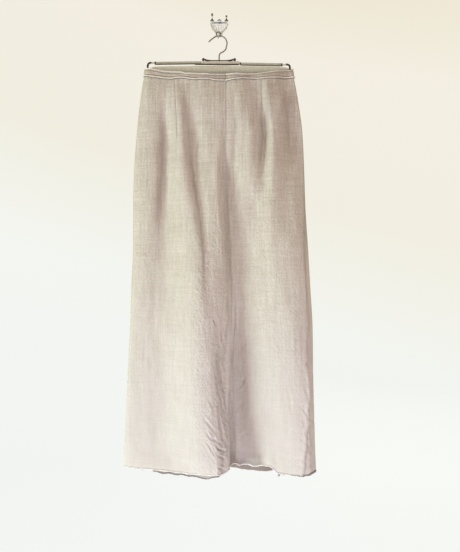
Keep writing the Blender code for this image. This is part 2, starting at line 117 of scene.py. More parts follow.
def stage_bowl():
    """A pale floor that curves up into a far backdrop all round."""
    bm = bmesh.new()
    profile = [(0.0, 0.0), (1.2, 0.0), (2.4, 0.0)]
    profile += [(2.4 + 1.6 * math.sin(math.radians(a)), 1.6 - 1.6 * math.cos(math.radians(a))) for a in range(6, 91, 6)]
    profile += [(4.0, 2.6), (4.0, 4.2)]
    n = 96
    rings = []
    for r, z in profile:
        if r == 0:
            rings.append([bm.verts.new((0, 0, FLOOR_Z))])
        else:
            rings.append([bm.verts.new((r * math.cos(t), r * math.sin(t), FLOOR_Z + z)) for t in (2 * math.pi * k / n for k in range(n))])
    for one, two in zip(rings, rings[1:]):
        for k in range(n):
            j = (k + 1) % n
            bm.faces.new(list(dict.fromkeys([one[k % len(one)], one[j % len(one)], two[j], two[k]])))
    mesh = bpy.data.meshes.new("stage_floor")
    bm.to_mesh(mesh)
    bm.free()
    mesh.shade_smooth()
    o = bpy.data.objects.new("stage_floor", mesh)
    scene.collection.objects.link(o)
    m = bpy.data.materials.new("stage")
    m.use_nodes = True
    p = m.node_tree.nodes["Principled BSDF"]
    p.inputs["Base Color"].default_value = (*STAGE_COLOR, 1)
    p.inputs["Roughness"].default_value = 1.0
    p.inputs["Specular IOR Level"].default_value = 0.0
    # warmer and a little darker above, paler below
    tree = m.node_tree
    spot = tree.nodes.new("ShaderNodeTexCoord")
    part = tree.nodes.new("ShaderNodeSeparateXYZ")
    tree.links.new(spot.outputs["Object"], part.inputs[0])
    tone = tree.nodes.new("ShaderNodeValToRGB")
    span = tree.nodes.new("ShaderNodeMapRange")
    span.inputs[1].default_value, span.inputs[2].default_value = FLOOR_Z, 2.4
    lean = tree.nodes.new("ShaderNodeMath")
    lean.operation = "MULTIPLY_ADD"
    lean.inputs[1].default_value = 0.30
    tree.links.new(part.outputs[0], lean.inputs[0])
    tree.links.new(part.outputs[2], lean.inputs[2])
    tree.links.new(lean.outputs[0], span.inputs[0])
    tree.links.new(span.outputs[0], tone.inputs[0])
    while len(tone.color_ramp.elements) < len(STAGE_TONES):
        tone.color_ramp.elements.new(1.0)
    for stop, (at, color) in zip(tone.color_ramp.elements, STAGE_TONES):
        stop.position, stop.color = at, (*color, 1)
    tree.links.new(tone.outputs[0], p.inputs["Emission Color"])
    p.inputs["Emission Strength"].default_value = 1.0
    mesh.materials.append(m)
    o.visible_diffuse = False
    o.visible_glossy = False
    o.visible_transmission = False
    o.visible_shadow = False
    return o


stage_bowl()

# ---------------------------------------------------------------- the skirt's form
# Places are x (to the right), d (out from the wall) and z, in millimetres, the same as in the CAD.
SEAM = 0.15
CHEEK_X, CHEEK_D = 2.5, 6.0
LAP_TOP, LAP_LOW = 4.0, 3.2
Z_WAIST, Z_HEM = -124.0, -1036.0
CLOTH = 0.7
BAND_LIFT, BAND_THICK = 0.30, 0.9

# Heights of the section rows, mm below the wall hook.
HEIGHTS = (-124, -200, -268, -348, -440, -532, -623, -715, -806, -898, -989, -1036)

# The outer front panel, from the left side seam to its free edge.
OVERLAP_LINES = ("side", "shoulder", "valley_a", "ridge_a", "valley_b", "ridge_b", "knee", "edge")
OVERLAP_X = (
    (-172, -161, -127, -97, -66, -35, -12, 15),
    (-184, -160, -125, -87, -64, -27, -5, 15),
    (-191, -151, -122, -83, -59, -22, 0, 15),
    (-197, -153, -126, -77, -54, -19, -7, 17),
    (-200, -156, -123, -62, -37, -12, -2, 22),
    (-200, -165, -128, -46, -29, -16, 6, 26),
    (-204, -165, -132, -43, -21, -14, 14, 28),
    (-207, -165, -130, -38, -9, -2, 17, 29),
    (-212, -168, -130, -35, -10, 3, 14, 27),
    (-216, -170, -132, -29, -10, 7, 19, 26),
    (-220, -169, -133, -21, -6, 12, 20, 24),
    (-221, -169, -138, -19, -2, 14, 24, 23),
)
OVERLAP_D = (
    (30, 44, 45, 46, 51, 51, 49, 48),
    (31, 48, 47, 55, 49, 55, 55, 54),
    (32, 47, 42, 58, 45, 54, 54, 52),
    (32, 47, 40, 60, 50, 56, 58, 47),
    (32, 48, 41, 64, 57, 62, 62, 44),
    (32, 47, 42, 70, 66, 65, 63, 46),
    (32, 47, 46, 78, 73, 72, 60, 45),
    (32, 46, 50, 81, 74, 71, 60, 47),
    (32, 46, 49, 84, 81, 70, 60, 50),
    (32, 46, 49, 87, 85, 74, 60, 50),
    (32, 47, 51, 89, 88, 72, 62, 56),
    (32, 51, 57, 84, 89, 75, 64, 61),
)

# The inner front panel, where it shows: from under the free edge to the right side seam.
UNDERLAP_LINES = ("lap", "valley_c", "slope", "ridge_c", "valley_d", "ridge_d", "fall", "corner", "side")
UNDERLAP_X = (
    (24, 36, 53, 69, 94, 110, 133, 153, 172),
    (24, 36, 52, 62, 99, 118, 150, 164, 186),
    (24, 36, 53, 72, 109, 125, 158, 169, 195),
    (25, 33, 49, 72, 105, 124, 160, 172, 199),
    (28, 35, 59, 84, 100, 120, 155, 171, 202),
    (32, 39, 65, 89, 105, 125, 150, 186, 208),
    (34, 41, 69, 95, 110, 128, 156, 194, 213),
    (35, 42, 69, 100, 112, 132, 169, 194, 218),
    (34, 43, 68, 101, 116, 139, 179, 201, 219),
    (33, 44, 71, 105, 123, 147, 187, 206, 221),
    (31, 47, 77, 111, 131, 154, 188, 195, 223),
    (31, 55, 87, 114, 134, 155, 182, 195, 225),
)
UNDERLAP_D = (
    (46, 48, 48, 46, 47, 45, 43, 36, 30),
    (52, 53, 56, 55, 45, 57, 48, 36, 31),
    (50, 49, 54, 59, 45, 58, 44, 32, 31),
    (45, 44, 51, 60, 53, 65, 50, 46, 32),
    (42, 42, 46, 49, 57, 65, 58, 56, 33),
    (41, 37, 41, 52, 58, 66, 67, 61, 34),
    (39, 35, 45, 55, 60, 68, 72, 67, 36),
    (39, 33, 45, 58, 63, 70, 77, 71, 38),
    (39, 31, 42, 58, 64, 72, 79, 73, 40),
    (37, 29, 43, 59, 64, 73, 80, 75, 41),
    (39, 26, 39, 60, 66, 74, 84, 83, 43),
    (43, 26, 35, 63, 70, 76, 83, 80, 44),
)

# The underlap's hidden free edge, behind the overlap: x at each height.
HIDDEN_EDGE_X = (-141, -141, -141, -142, -143, -145, -147, -149, -150, -151, -152, -152)

# The back panel, from the right side seam to the left one.
BACK_LINES = ("side_right", "flank_right", "fold_1", "hollow_1", "fold_2", "hollow_2", "fold_3", "flank_left", "side_left")
BACK_X = (
    (172, 152, 118, 82, 40, 2, -50, -150, -172),
    (186, 160, 120, 84, 42, 0, -54, -156, -184),
    (195, 166, 122, 86, 44, -4, -58, -160, -191),
    (199, 170, 124, 86, 44, -8, -62, -164, -197),
    (202, 174, 126, 86, 42, -12, -68, -168, -200),
    (208, 178, 130, 88, 40, -16, -74, -170, -200),
    (213, 182, 134, 90, 38, -20, -80, -174, -204),
    (218, 186, 138, 92, 38, -24, -84, -176, -207),
    (219, 188, 142, 96, 38, -26, -88, -180, -212),
    (221, 190, 146, 98, 38, -28, -92, -184, -216),
    (223, 192, 150, 100, 38, -30, -96, -186, -220),
    (225, 194, 152, 102, 38, -30, -98, -188, -221),
)
BACK_D = (
    (30, 18, 13, 13, 12, 13, 13, 18, 30),
    (31, 17, 12, 14, 12, 14, 12, 17, 31),
    (31, 17, 11, 15, 11, 15, 12, 17, 32),
    (32, 17, 11, 16, 11, 16, 12, 17, 32),
    (33, 17, 11, 16, 11, 16, 11, 17, 32),
    (34, 18, 11, 15, 10, 16, 11, 16, 32),
    (36, 18, 11, 15, 10, 16, 10, 16, 32),
    (38, 19, 10, 15, 10, 15, 10, 16, 32),
    (40, 20, 10, 14, 9, 15, 10, 16, 32),
    (41, 20, 9, 14, 9, 15, 9, 16, 32),
    (43, 21, 9, 13, 8, 14, 9, 16, 32),
    (44, 21, 9, 13, 8, 14, 9, 16, 32),
)

# Edges as (x, z), mm.
TOP_FRONT = ((-176, -109), (-160, -113), (-148, -114.9), (-133, -118.3), (-117, -120.4), (-101, -121.3), (-87, -122.2), (-75, -126.2), (-61, -126.2), (-43, -126.9), (-27, -127.3), (-11, -127.7), (12, -127.1), (24, -127.2), (56, -126.6), (72, -126.3), (91, -124.3), (109, -121.4), (128, -118.2), (147, -114.8), (161, -113.2), (176, -111))
TOP_BACK = ((-176, -109.5), (-165, -103.2), (-150, -97.6), (-128, -95.8), (-110, -94.9), (-80, -94.0), (-52, -93.4), (-20, -93.9), (0, -93.1), (34, -93.9), (70, -94.3), (110, -95.4), (150, -98.6), (165, -103.6), (176, -111))
BAND_TOP = ((-176, -108), (-160, -112.2), (-148, -114.1), (-133, -117.5), (-117, -119.6), (-101, -120.5), (-87, -121.4), (-75, -125.4), (-61, -125.4), (-43, -126.1), (-27, -126.5), (-11, -126.9), (12, -126.3), (24, -126.4), (56, -125.8), (72, -125.5), (91, -123.5), (109, -120.6), (128, -117.4), (147, -114), (161, -112.6), (176, -110.5))
BAND_LOW = ((-176, -123.1), (-160, -129.3), (-145, -131.3), (-136, -132.8), (-117, -135.4), (-108, -136), (-94, -134), (-80, -134.7), (-66, -137.5), (-54, -138.8), (-43, -137.6), (-24, -137.6), (-6, -140.7), (8, -141.1), (38, -137.8), (56, -136.4), (86, -136.2), (100, -135), (118, -133.9), (142, -131.6), (176, -128.2))
BAND_BACK_TOP = ((-176, -109), (-165, -102.6), (-150, -97), (-128, -95.2), (-110, -94.3), (-80, -93.4), (-52, -92.8), (-20, -93.3), (0, -92.5), (34, -93.3), (70, -93.7), (110, -94.8), (150, -98), (165, -103), (176, -110.5))
BAND_BACK_LOW = ((-176, -122.6), (-150, -117), (-120, -112.4), (-92, -111.8), (-60, -110.4), (-30, -111.4), (6, -110.2), (40, -111.6), (76, -111), (112, -113), (150, -118.2), (176, -127.2))
HEM_OVERLAP = ((-223, -1032.5), (-200, -1033.5), (-149, -1034), (-101, -1035), (-76, -1037.2), (-51, -1036.8), (-21, -1036), (-3, -1034), (10, -1034.3), (18, -1033), (24, -1029.5))
HEM_UNDERLAP = ((-153, -1039), (-141, -1038), (-128, -1041), (-112, -1039.6), (-97, -1042), (-84, -1040.8), (-70, -1043), (-57, -1041.6), (-44, -1043.4), (-32, -1045), (-22, -1044), (-12, -1040.5), (6, -1036), (20, -1031), (31, -1025.5), (38, -1026.5), (49, -1034), (60, -1032), (68, -1031.5), (80, -1033.5), (89, -1033), (97, -1028), (106, -1024.5), (116, -1023), (126, -1030), (136, -1035.5), (145, -1036.5), (161, -1037.5), (195, -1039.5), (212, -1040), (226, -1041))
HEM_BACK = ((-223, -1034), (-150, -1040), (-60, -1042), (20, -1044), (60, -1049), (84, -1052), (105, -1053), (140, -1050), (200, -1044), (226, -1042))
STITCH_TOP, STITCH_LOW = 3.0, 3.0
# How much of each stretch of raw edge is frayed, as (x, share).
FRAY_TOP = ((-176, 0.6), (-150, 0.9), (-130, 0.9), (-122, 0.6), (-116, 1), (-43, 1), (-38, 0.5), (-30, 0.8), (-24, 0.35), (8, 0.35), (12, 0.9), (24, 0.9), (28, 0.35), (42, 0.4), (46, 1), (66, 1), (70, 0.35), (176, 0.4))
FRAY_LOW = ((-176, 1), (85, 1), (90, 0.6), (100, 0.6), (106, 0.95), (176, 0.95))
FRAY_BACK = ((-176, 0.8), (176, 0.8))
FRAY_HEM = ((-223, 0.45), (-156, 0.5), (-146, 1), (22, 1), (31, 1), (112, 1), (136, 0.9), (145, 0.3), (226, 0.35))
SHADE_HEM = ((-153, 1), (-118, 1), (-100, 0.5), (-70, 0.8), (20, 0.9), (24, 0), (44, 0), (47, 0.7), (80, 0.7), (86, 0), (186, 0), (192, 1), (226, 1))
# The ridge where the underlap's outer lobe turns back, as (z, x).
OUTER_RIDGE = ((-1040, 193), (-1003, 195.4), (-985, 196.8), (-962, 199), (-937, 200.2), (-922, 204.7), (-892, 201.6), (-872, 207), (-850, 206), (-825, 206), (-793, 200.6), (-760, 198.4), (-690, 200))

def smooth(xs, ys, at):
    """A smooth curve through (xs, ys), flat at each peak and trough, read at the places at."""
    xs, ys, at = (np.asarray(a, float) for a in (xs, ys, at))
    h = np.diff(xs)
    s = np.diff(ys) / h
    m = np.zeros(len(xs))
    for i in range(1, len(xs) - 1):
        if s[i - 1] * s[i] > 0:
            w1, w2 = 2 * h[i] + h[i - 1], h[i] + 2 * h[i - 1]
            m[i] = (w1 + w2) / (w1 / s[i - 1] + w2 / s[i])
    m[0], m[-1] = s[0], s[-1]
    i = np.clip(np.searchsorted(xs, at, side="right") - 1, 0, len(xs) - 2)
    t = np.clip((at - xs[i]) / h[i], 0, 1)
    a, b = ys[i], ys[i + 1]
    return (2 * t**3 - 3 * t**2 + 1) * a + (t**3 - 2 * t**2 + t) * h[i] * m[i] + (3 * t**2 - 2 * t**3) * b + (t**3 - t**2) * h[i] * m[i + 1]


def row_at(table, z):
    """One row of a table of heights, read at height z."""
    rev = HEIGHTS[::-1]
    z = min(max(z, rev[0]), rev[-1])
    return np.array([float(smooth(rev, [row[k] for row in table][::-1], [z])[0]) for k in range(len(table[0]))])


def through(knots, n):
    """The smooth open curve through (x, d) knots as n + 1 points an equal way apart."""
    knots = np.asarray(knots, float)
    run = np.concatenate([[0], np.cumsum(np.hypot(*np.diff(knots, axis=0).T))])
    t = np.linspace(0, run[-1], 600)
    xs, ds = smooth(run, knots[:, 0], t), smooth(run, knots[:, 1], t)
    arc = np.concatenate([[0], np.cumsum(np.hypot(np.diff(xs), np.diff(ds)))])
    at = np.linspace(0, arc[-1], n + 1)
    return np.stack([np.interp(at, arc, xs), np.interp(at, arc, ds)], axis=1)


def overlap_knots(z):
    x, d = row_at(OVERLAP_X, z), row_at(OVERLAP_D, z)
    k = [(x[0], d[0] + SEAM / 2), (x[0] + CHEEK_X, d[0] + CHEEK_D)]
    return k + list(zip(x[1:], d[1:]))


def underlap_knots(z):
    """It runs a little inside the overlap, then out from under its free edge."""
    over = np.stack([row_at(OVERLAP_X, z), row_at(OVERLAP_D, z)], axis=1)
    x, d = row_at(UNDERLAP_X, z), row_at(UNDERLAP_D, z)
    lap = float(np.interp(z, (-220, -150), (LAP_LOW, LAP_TOP)))
    line = through(overlap_knots(z), 200)
    hx = float(smooth(HEIGHTS[::-1], HIDDEN_EDGE_X[::-1], [z])[0])
    k = [(hx, float(np.interp(hx, line[:, 0], line[:, 1])) - lap)]
    for i, more in ((2, 0), (3, 0), (4, 0), (5, 0.3), (6, 1.0), (7, 0.6)):
        way = over[min(i + 1, 7)] - over[i - 1]
        at = over[i] + np.array([way[1], -way[0]]) / np.hypot(*way) * (lap + more)
        if k[-1][0] + 6 < at[0] < x[0] - 4:
            k.append((float(at[0]), float(at[1])))
    k += list(zip(x[:-1], d[:-1]))
    return k + [(x[-1] - CHEEK_X, d[-1] + CHEEK_D), (x[-1], d[-1] + SEAM / 2)]


def back_knots(z):
    x, d = row_at(BACK_X, z), row_at(BACK_D, z)
    k = [(x[0], d[0] - SEAM / 2), (x[0] - CHEEK_X, d[0] - CHEEK_D)]
    k += list(zip(x[1:-1], d[1:-1]))
    return k + [(x[-1] + CHEEK_X, d[-1] - CHEEK_D), (x[-1], d[-1] - SEAM / 2)]


def panel_surface(knots_at, top, hem, places, drops):
    """A panel's outer face: one row of points for each drop, one column for each place across (both 0 to 1)."""
    grid = np.zeros((len(drops), len(places), 3))
    for r, v in enumerate(drops):
        line = through(knots_at(Z_WAIST + (Z_HEM - Z_WAIST) * v), 400)
        at = np.linspace(0, 1, 401)
        x, d = np.interp(places, at, line[:, 0]), np.interp(places, at, line[:, 1])
        z_top = smooth(*zip(*top), np.clip(x, top[0][0], top[-1][0]))
        z_hem = smooth(*zip(*hem), np.clip(x, hem[0][0], hem[-1][0]))
        grid[r, :, 0], grid[r, :, 1], grid[r, :, 2] = x, -d, z_top + (z_hem - z_top) * v
    return grid


def normals(grid):
    """Unit normals of a panel's grid, pointing out of the skirt."""
    n = np.cross(np.gradient(grid, axis=0), np.gradient(grid, axis=1))
    return n / np.maximum(np.linalg.norm(n, axis=2, keepdims=True), 1e-9)


# ---------------------------------------------------------------- folds, creases and crumples
def noise(x, z, seed):
    """Smooth noise, about -1 to 1, one bump for each unit of x and z."""
    x0, z0 = np.floor(x).astype(np.int64), np.floor(z).astype(np.int64)
    fx, fz = x - x0, z - z0

    def corner(i, k):
        h = ((x0 + i) * 374761393 + (z0 + k) * 668265263 + seed * 974634777) & 0xFFFFFFFF
        h = ((h ^ (h >> 13)) * 1274126177) & 0xFFFFFFFF
        a = (h ^ (h >> 16)) / 4294967296.0 * 2 * np.pi
        return np.cos(a) * (fx - i) + np.sin(a) * (fz - k)

    u, w = fx**3 * (fx * (fx * 6 - 15) + 10), fz**3 * (fz * (fz * 6 - 15) + 10)
    return ((corner(0, 0) * (1 - u) + corner(1, 0) * u) * (1 - w) + (corner(0, 1) * (1 - u) + corner(1, 1) * u) * w) * 1.5


def ramp(a, b, t):
    t = np.clip((np.asarray(t, float) - a) / (b - a), 0, 1)
    return t * t * (3 - 2 * t)


def crease(x, z, line, width, depth, lip=0.35, fade=(0.25, 0.25)):
    """A soft trough along a line of (x, z), with a low lip on both sides, fading out towards both ends.
    width is half its width, and a negative depth makes a ridge."""
    near = np.full(x.shape, 1e9)
    along = np.zeros(x.shape)
    pts = np.asarray(line, float)
    seg = np.hypot(*np.diff(pts, axis=0).T)
    total, run = seg.sum(), 0.0
    for (ax, az), (bx, bz), s in zip(pts[:-1], pts[1:], seg):
        t = np.clip(((x - ax) * (bx - ax) + (z - az) * (bz - az)) / s**2, 0, 1)
        d = np.hypot(x - ax - t * (bx - ax), z - az - t * (bz - az))
        closer = d < near
        near = np.where(closer, d, near)
        along = np.where(closer, (run + t * s) / total, along)
        run += s
    ends = ramp(0, max(fade[0], 1e-3), along) * ramp(0, max(fade[1], 1e-3), 1 - along)
    q = (near / width) ** 2
    return depth * ends * (-np.exp(-q) + lip * np.exp(-((near / width - 1.9) ** 2) * 1.6))


def fold_shade(x, z, rows):
    """Painted shade: how much darker the cloth is made down in its folds. Rows: the fold as (z, x) points, its width to
    the left and right, how much, and the fades above and below, mm.
    """
    shade = np.zeros(x.shape)
    for line, left, right, much, above, below in rows:
        zs, xs = [p[0] for p in line][::-1], [p[1] for p in line][::-1]
        s = x - np.interp(z, zs, xs) - 1.2 * noise(z / 24, z * 0 + 0.5, 91)
        across = np.exp(-((s / np.where(s < 0, left, right)) ** 2))
        shade += much * across * ramp(zs[-1], zs[-1] - above, z) * ramp(zs[0], zs[0] + below, z)
    return shade


def wrinkled(x, z):
    """How much small crumpling shows: most beside the long fold and the free edge, some at the sides, little low on the left."""
    middle = ramp(-76, -46, x) * ramp(88, 44, x) * ramp(-360, -500, z)
    right = 0.65 * ramp(50, 80, x) * ramp(-260, -380, z) * ramp(-900, -760, z)
    outer = 0.50 * ramp(150, 172, x) * ramp(-150, -230, z)
    left = 0.45 * ramp(-120, -150, x) * ramp(-200, -300, z) * ramp(-760, -600, z)
    return np.maximum.reduce([middle, right, outer, left, 0.20 + 0 * x])


# Rows: the line as (x, z) points, half width, depth, lip, how much of each end fades.
FRONT_CREASES = (
    # waist darts and the folds that start from them
    (((-103, -134), (-100, -180), (-97, -235), (-96, -285)), 2.4, 0.42, 0.50, (0.01, 0.40)),
    (((97, -134), (98, -170), (100, -205)), 2.4, 0.30, 0.50, (0.01, 0.20)),
    (((99, -205), (102, -232), (105.5, -262), (105, -290), (102, -325)), 3.0, 2.2, 0.30, (0.30, 0.35)),
    (((-128, -215), (-127, -270), (-127, -320), (-129, -370), (-131, -430)), 3.6, 1.5, 0.30, (0.35, 0.35)),
    (((-70, -185), (-68, -230), (-64, -280), (-59, -330)), 3.6, 1.1, 0.30, (0.35, 0.35)),
    (((20, -290), (25, -340), (29, -400), (33, -470), (34, -540)), 10, 1.8, 0.15, (0.35, 0.40)),
    (((-24, -738), (-19, -800), (-18, -880)), 6, -0.5, 0.20, (0.30, 0.35)),
    (((100, -185), (103, -225), (107, -258), (103, -288), (102, -318), (99, -350), (98, -395)), 6.1, 3.9, 0.30, (0.30, 0.40)),
    (((108, -215), (111, -262), (108, -312)), 1.6, -1.65, 0.10, (0.40, 0.40)),
    # the two long folds of the overlap
    (((-124, -165), (-123, -230), (-120, -290), (-124, -350), (-126, -420), (-133, -500)), 9.4, 4.04, 0.20, (0.30, 0.40)),
    (((-64, -190), (-57, -250), (-56, -310), (-47, -368), (-37, -433), (-29, -498), (-23, -573), (-22, -625)), 6.7, 1.21, 0.25, (0.30, 0.25)),
    (((-48, -360), (-32, -440), (-25, -510)), 3.6, -0.73, 0.30, (0.40, 0.40)),
    (((-61, -348), (-52, -400), (-41, -451), (-34, -500), (-31, -560), (-30, -612)), 2.3, 1.3, 0.45, (0.25, 0.30)),
    # short creases beside the free edge
    (((-7, -688), (-4, -738)), 4.2, 1.65, 0.40, (0.30, 0.30)),
    (((-18, -752), (-9, -788), (-4, -824)), 2.6, 0.21, 0.40, (0.30, 0.30)),
    (((-3, -782), (7, -806), (12, -838)), 3.7, 0.72, 0.40, (0.30, 0.30)),
    (((-15, -640), (-6, -668)), 3.2, 0.46, 0.40, (0.30, 0.30)),
    (((-4, -652), (5, -690)), 2.9, 0.56, 0.40, (0.30, 0.30)),
    (((-12, -680), (1, -712)), 3.3, 1.61, 0.40, (0.30, 0.30)),
    (((6, -716), (14, -748)), 2.6, 0.7, 0.40, (0.30, 0.30)),
    # the fan of small slanting creases above the overlap's lower corner
    (((-34, -905), (-24, -918), (-12, -930)), 2.6, 1.1, 0.60, (0.30, 0.30)),
    (((-23, -922), (-14, -931), (-5, -942)), 2.4, 1.1, 0.60, (0.30, 0.30)),
    (((-28, -936), (-19, -951), (-4, -960)), 2.2, 1.3, 0.70, (0.30, 0.25)),
    (((-15, -945), (-4, -961), (12, -970)), 2.4, 1.1, 0.70, (0.30, 0.25)),
    (((-30, -958), (-21, -967), (-12, -982)), 2.2, 1.1, 0.60, (0.30, 0.30)),
    (((-9, -960), (2, -978), (18, -988)), 2.2, 1.5, 0.70, (0.30, 0.15)),
    (((-22, -972), (-13, -981), (-7, -994)), 2.0, 0.7, 0.60, (0.30, 0.30)),
    (((-2, -990), (9, -999), (19, -1006)), 2.2, 0.9, 0.60, (0.30, 0.20)),
    (((-13, -1001), (-1, -1009), (11, -1015)), 2.0, 0.6, 0.60, (0.30, 0.30)),
    (((-4, -1014), (8, -1023), (19, -1031)), 2.4, 1.3, 0.60, (0.30, 0.10)),
    (((4, -905), (10, -940), (14, -975)), 3.2, 1.2, 0.40, (0.30, 0.30)),
    (((-22, -860), (-12, -884), (-4, -905)), 3.0, 1.0, 0.50, (0.30, 0.30)),
    (((2, -846), (10, -872), (15, -902)), 2.8, 1.0, 0.50, (0.30, 0.30)),
    # faint long lines on the overlap
    (((-172, -742), (-171, -790), (-170, -828)), 2.6, 0.6, 0.40, (0.30, 0.30)),
    (((-186, -300), (-190, -420), (-188, -520)), 5, 0.6, 0.30, (0.40, 0.40)),
    (((-112, -610), (-104, -760), (-100, -880)), 9, 0.7, 0.20, (0.40, 0.40)),
    (((-66, -700), (-62, -820), (-60, -930)), 7, -0.6, 0.20, (0.40, 0.40)),
    (((-95, -250), (-88, -330), (-84, -420)), 6, -0.7, 0.20, (0.40, 0.40)),
    (((-148, -560), (-150, -660), (-153, -760)), 6, 0.6, 0.20, (0.40, 0.40)),
    # gathers just under the waistband
    (((-134, -138), (-133, -160)), 1.8, 0.45, 0.40, (0.05, 0.60)),
    (((-72, -140), (-70, -170)), 1.8, 0.5, 0.40, (0.05, 0.60)),
    (((-48, -142), (-49, -160)), 1.6, 0.4, 0.40, (0.05, 0.60)),
    (((6, -142), (5, -176)), 2, 0.45, 0.40, (0.05, 0.60)),
    (((44, -140), (45, -168)), 1.8, 0.4, 0.40, (0.05, 0.60)),
    (((140, -134), (144, -170)), 2.2, 0.5, 0.40, (0.05, 0.60)),
    (((-155, -132), (-157, -165)), 2.2, 0.5, 0.40, (0.05, 0.60)),
    # the underlap: the valley beside the free edge
    (((33, -805), (44, -772), (54, -742)), 4, 0.8, 0.40, (0.35, 0.35)),
    (((36, -870), (52, -838), (66, -818)), 4, 0.8, 0.40, (0.35, 0.35)),
    (((30, -930), (44, -900), (62, -878)), 3.6, 0.7, 0.40, (0.35, 0.35)),
    (((42, -980), (56, -962), (72, -952)), 3.4, 0.7, 0.40, (0.35, 0.35)),
    (((40, -300), (44, -400), (46, -480)), 7, 0.6, 0.20, (0.40, 0.40)),
    (((70, -170), (76, -240), (80, -300)), 6, -0.6, 0.20, (0.40, 0.40)),
    (((36, -1028), (39, -1012), (40, -992)), 3.2, 1, 0.40, (0.02, 0.50)),
    (((62, -1030), (60, -1015), (61, -1000)), 3, 0.8, 0.40, (0.02, 0.50)),
    (((92, -1030), (90, -1012), (93, -990)), 3, 0.8, 0.40, (0.02, 0.50)),
    # the underlap: its outer lobe and the side
    (((153, -149), (160, -221), (162, -285), (161, -393)), 10, 1.8, 0.20, (0.20, 0.40)),
    (((156, -838), (162, -870), (164, -905)), 3, 0.7, 0.40, (0.35, 0.35)),
    (((172, -700), (178, -770), (180, -830)), 4, 0.6, 0.30, (0.40, 0.40)),
    (((194, -838), (203, -866), (208, -892)), 3, 1.1, 0.50, (0.30, 0.30)),
    (((189, -882), (200, -906), (207, -934)), 3, 1.2, 0.50, (0.30, 0.30)),
    (((194, -934), (202, -956), (204, -984)), 3, 1, 0.50, (0.30, 0.30)),
    (((204, -742), (210, -782), (214, -818)), 3, 1, 0.40, (0.30, 0.30)),
    (((128, -560), (134, -660), (140, -760)), 9, 0.7, 0.20, (0.40, 0.40)),
    (((186, -260), (190, -340), (196, -430)), 4, 0.8, 0.30, (0.40, 0.40)),
)
# Painted shade down in the folds: the fold as (z, x), widths left and right, how much, fades above and below.
OVERLAP_SHADES = (
    (((-195, -134), (-227, -132), (-274, -129), (-333, -132), (-391, -135.5), (-450, -137), (-530, -141)), 10, 5, 0.27, 70, 130),
    (((-160, -84), (-181, -80), (-227, -75.6), (-274, -67), (-333, -64), (-391, -55), (-470, -42)), 9, 5, 0.12, 50, 90),
    (((-290, -65), (-348, -59.5), (-400, -50), (-470, -41), (-540, -35), (-612, -30), (-690, -25)), 7, 2.2, 0.24, 60, 110),
    (((-300, 14), (-357, 17), (-415, 20), (-508, 22), (-720, 26)), 17, 14, 0.14, 70, 130),
    (((-700, -10), (-760, -10), (-800, -7), (-850, 0), (-930, 2), (-1000, 2)), 2.2, 46, 0.10, 30, 190),
)
UNDERLAP_SHADES = (
    (((-300, 14), (-357, 17), (-415, 20), (-508, 22), (-720, 26)), 17, 14, 0.14, 70, 130),
    (((-195, 98), (-227, 101), (-274, 103.5), (-333, 97), (-370, 94)), 12, 3.2, 0.22, 50, 60),
    (((-150, 150), (-181, 154), (-300, 156), (-360, 156)), 15, 15, 0.11, 40, 80),
    (((-965, 27), (-1032, 33)), 7, 8, 0.24, 50, 0.1),
    (((-680, 40), (-860, 41), (-1000, 36)), 9, 6, 0.12, 60, 40),
    (((-140, 113), (-190, 114), (-270, 117)), 7, 8, 0.20, 4, 100),
)
BACK_SHADES = (
    (((-250, -96), (-330, -100), (-430, -104), (-560, -103)), 12, 6, 0.22, 60, 110),
    (((-240, 92), (-330, 97), (-420, 96), (-520, 103)), 6, 12, 0.22, 60, 110),
    (((-420, 66), (-590, 74), (-760, 68), (-950, 76)), 12, 10, 0.18, 90, 120),
    (((-520, -134), (-680, -130), (-820, -138), (-980, -134)), 10, 12, 0.18, 90, 120),
)
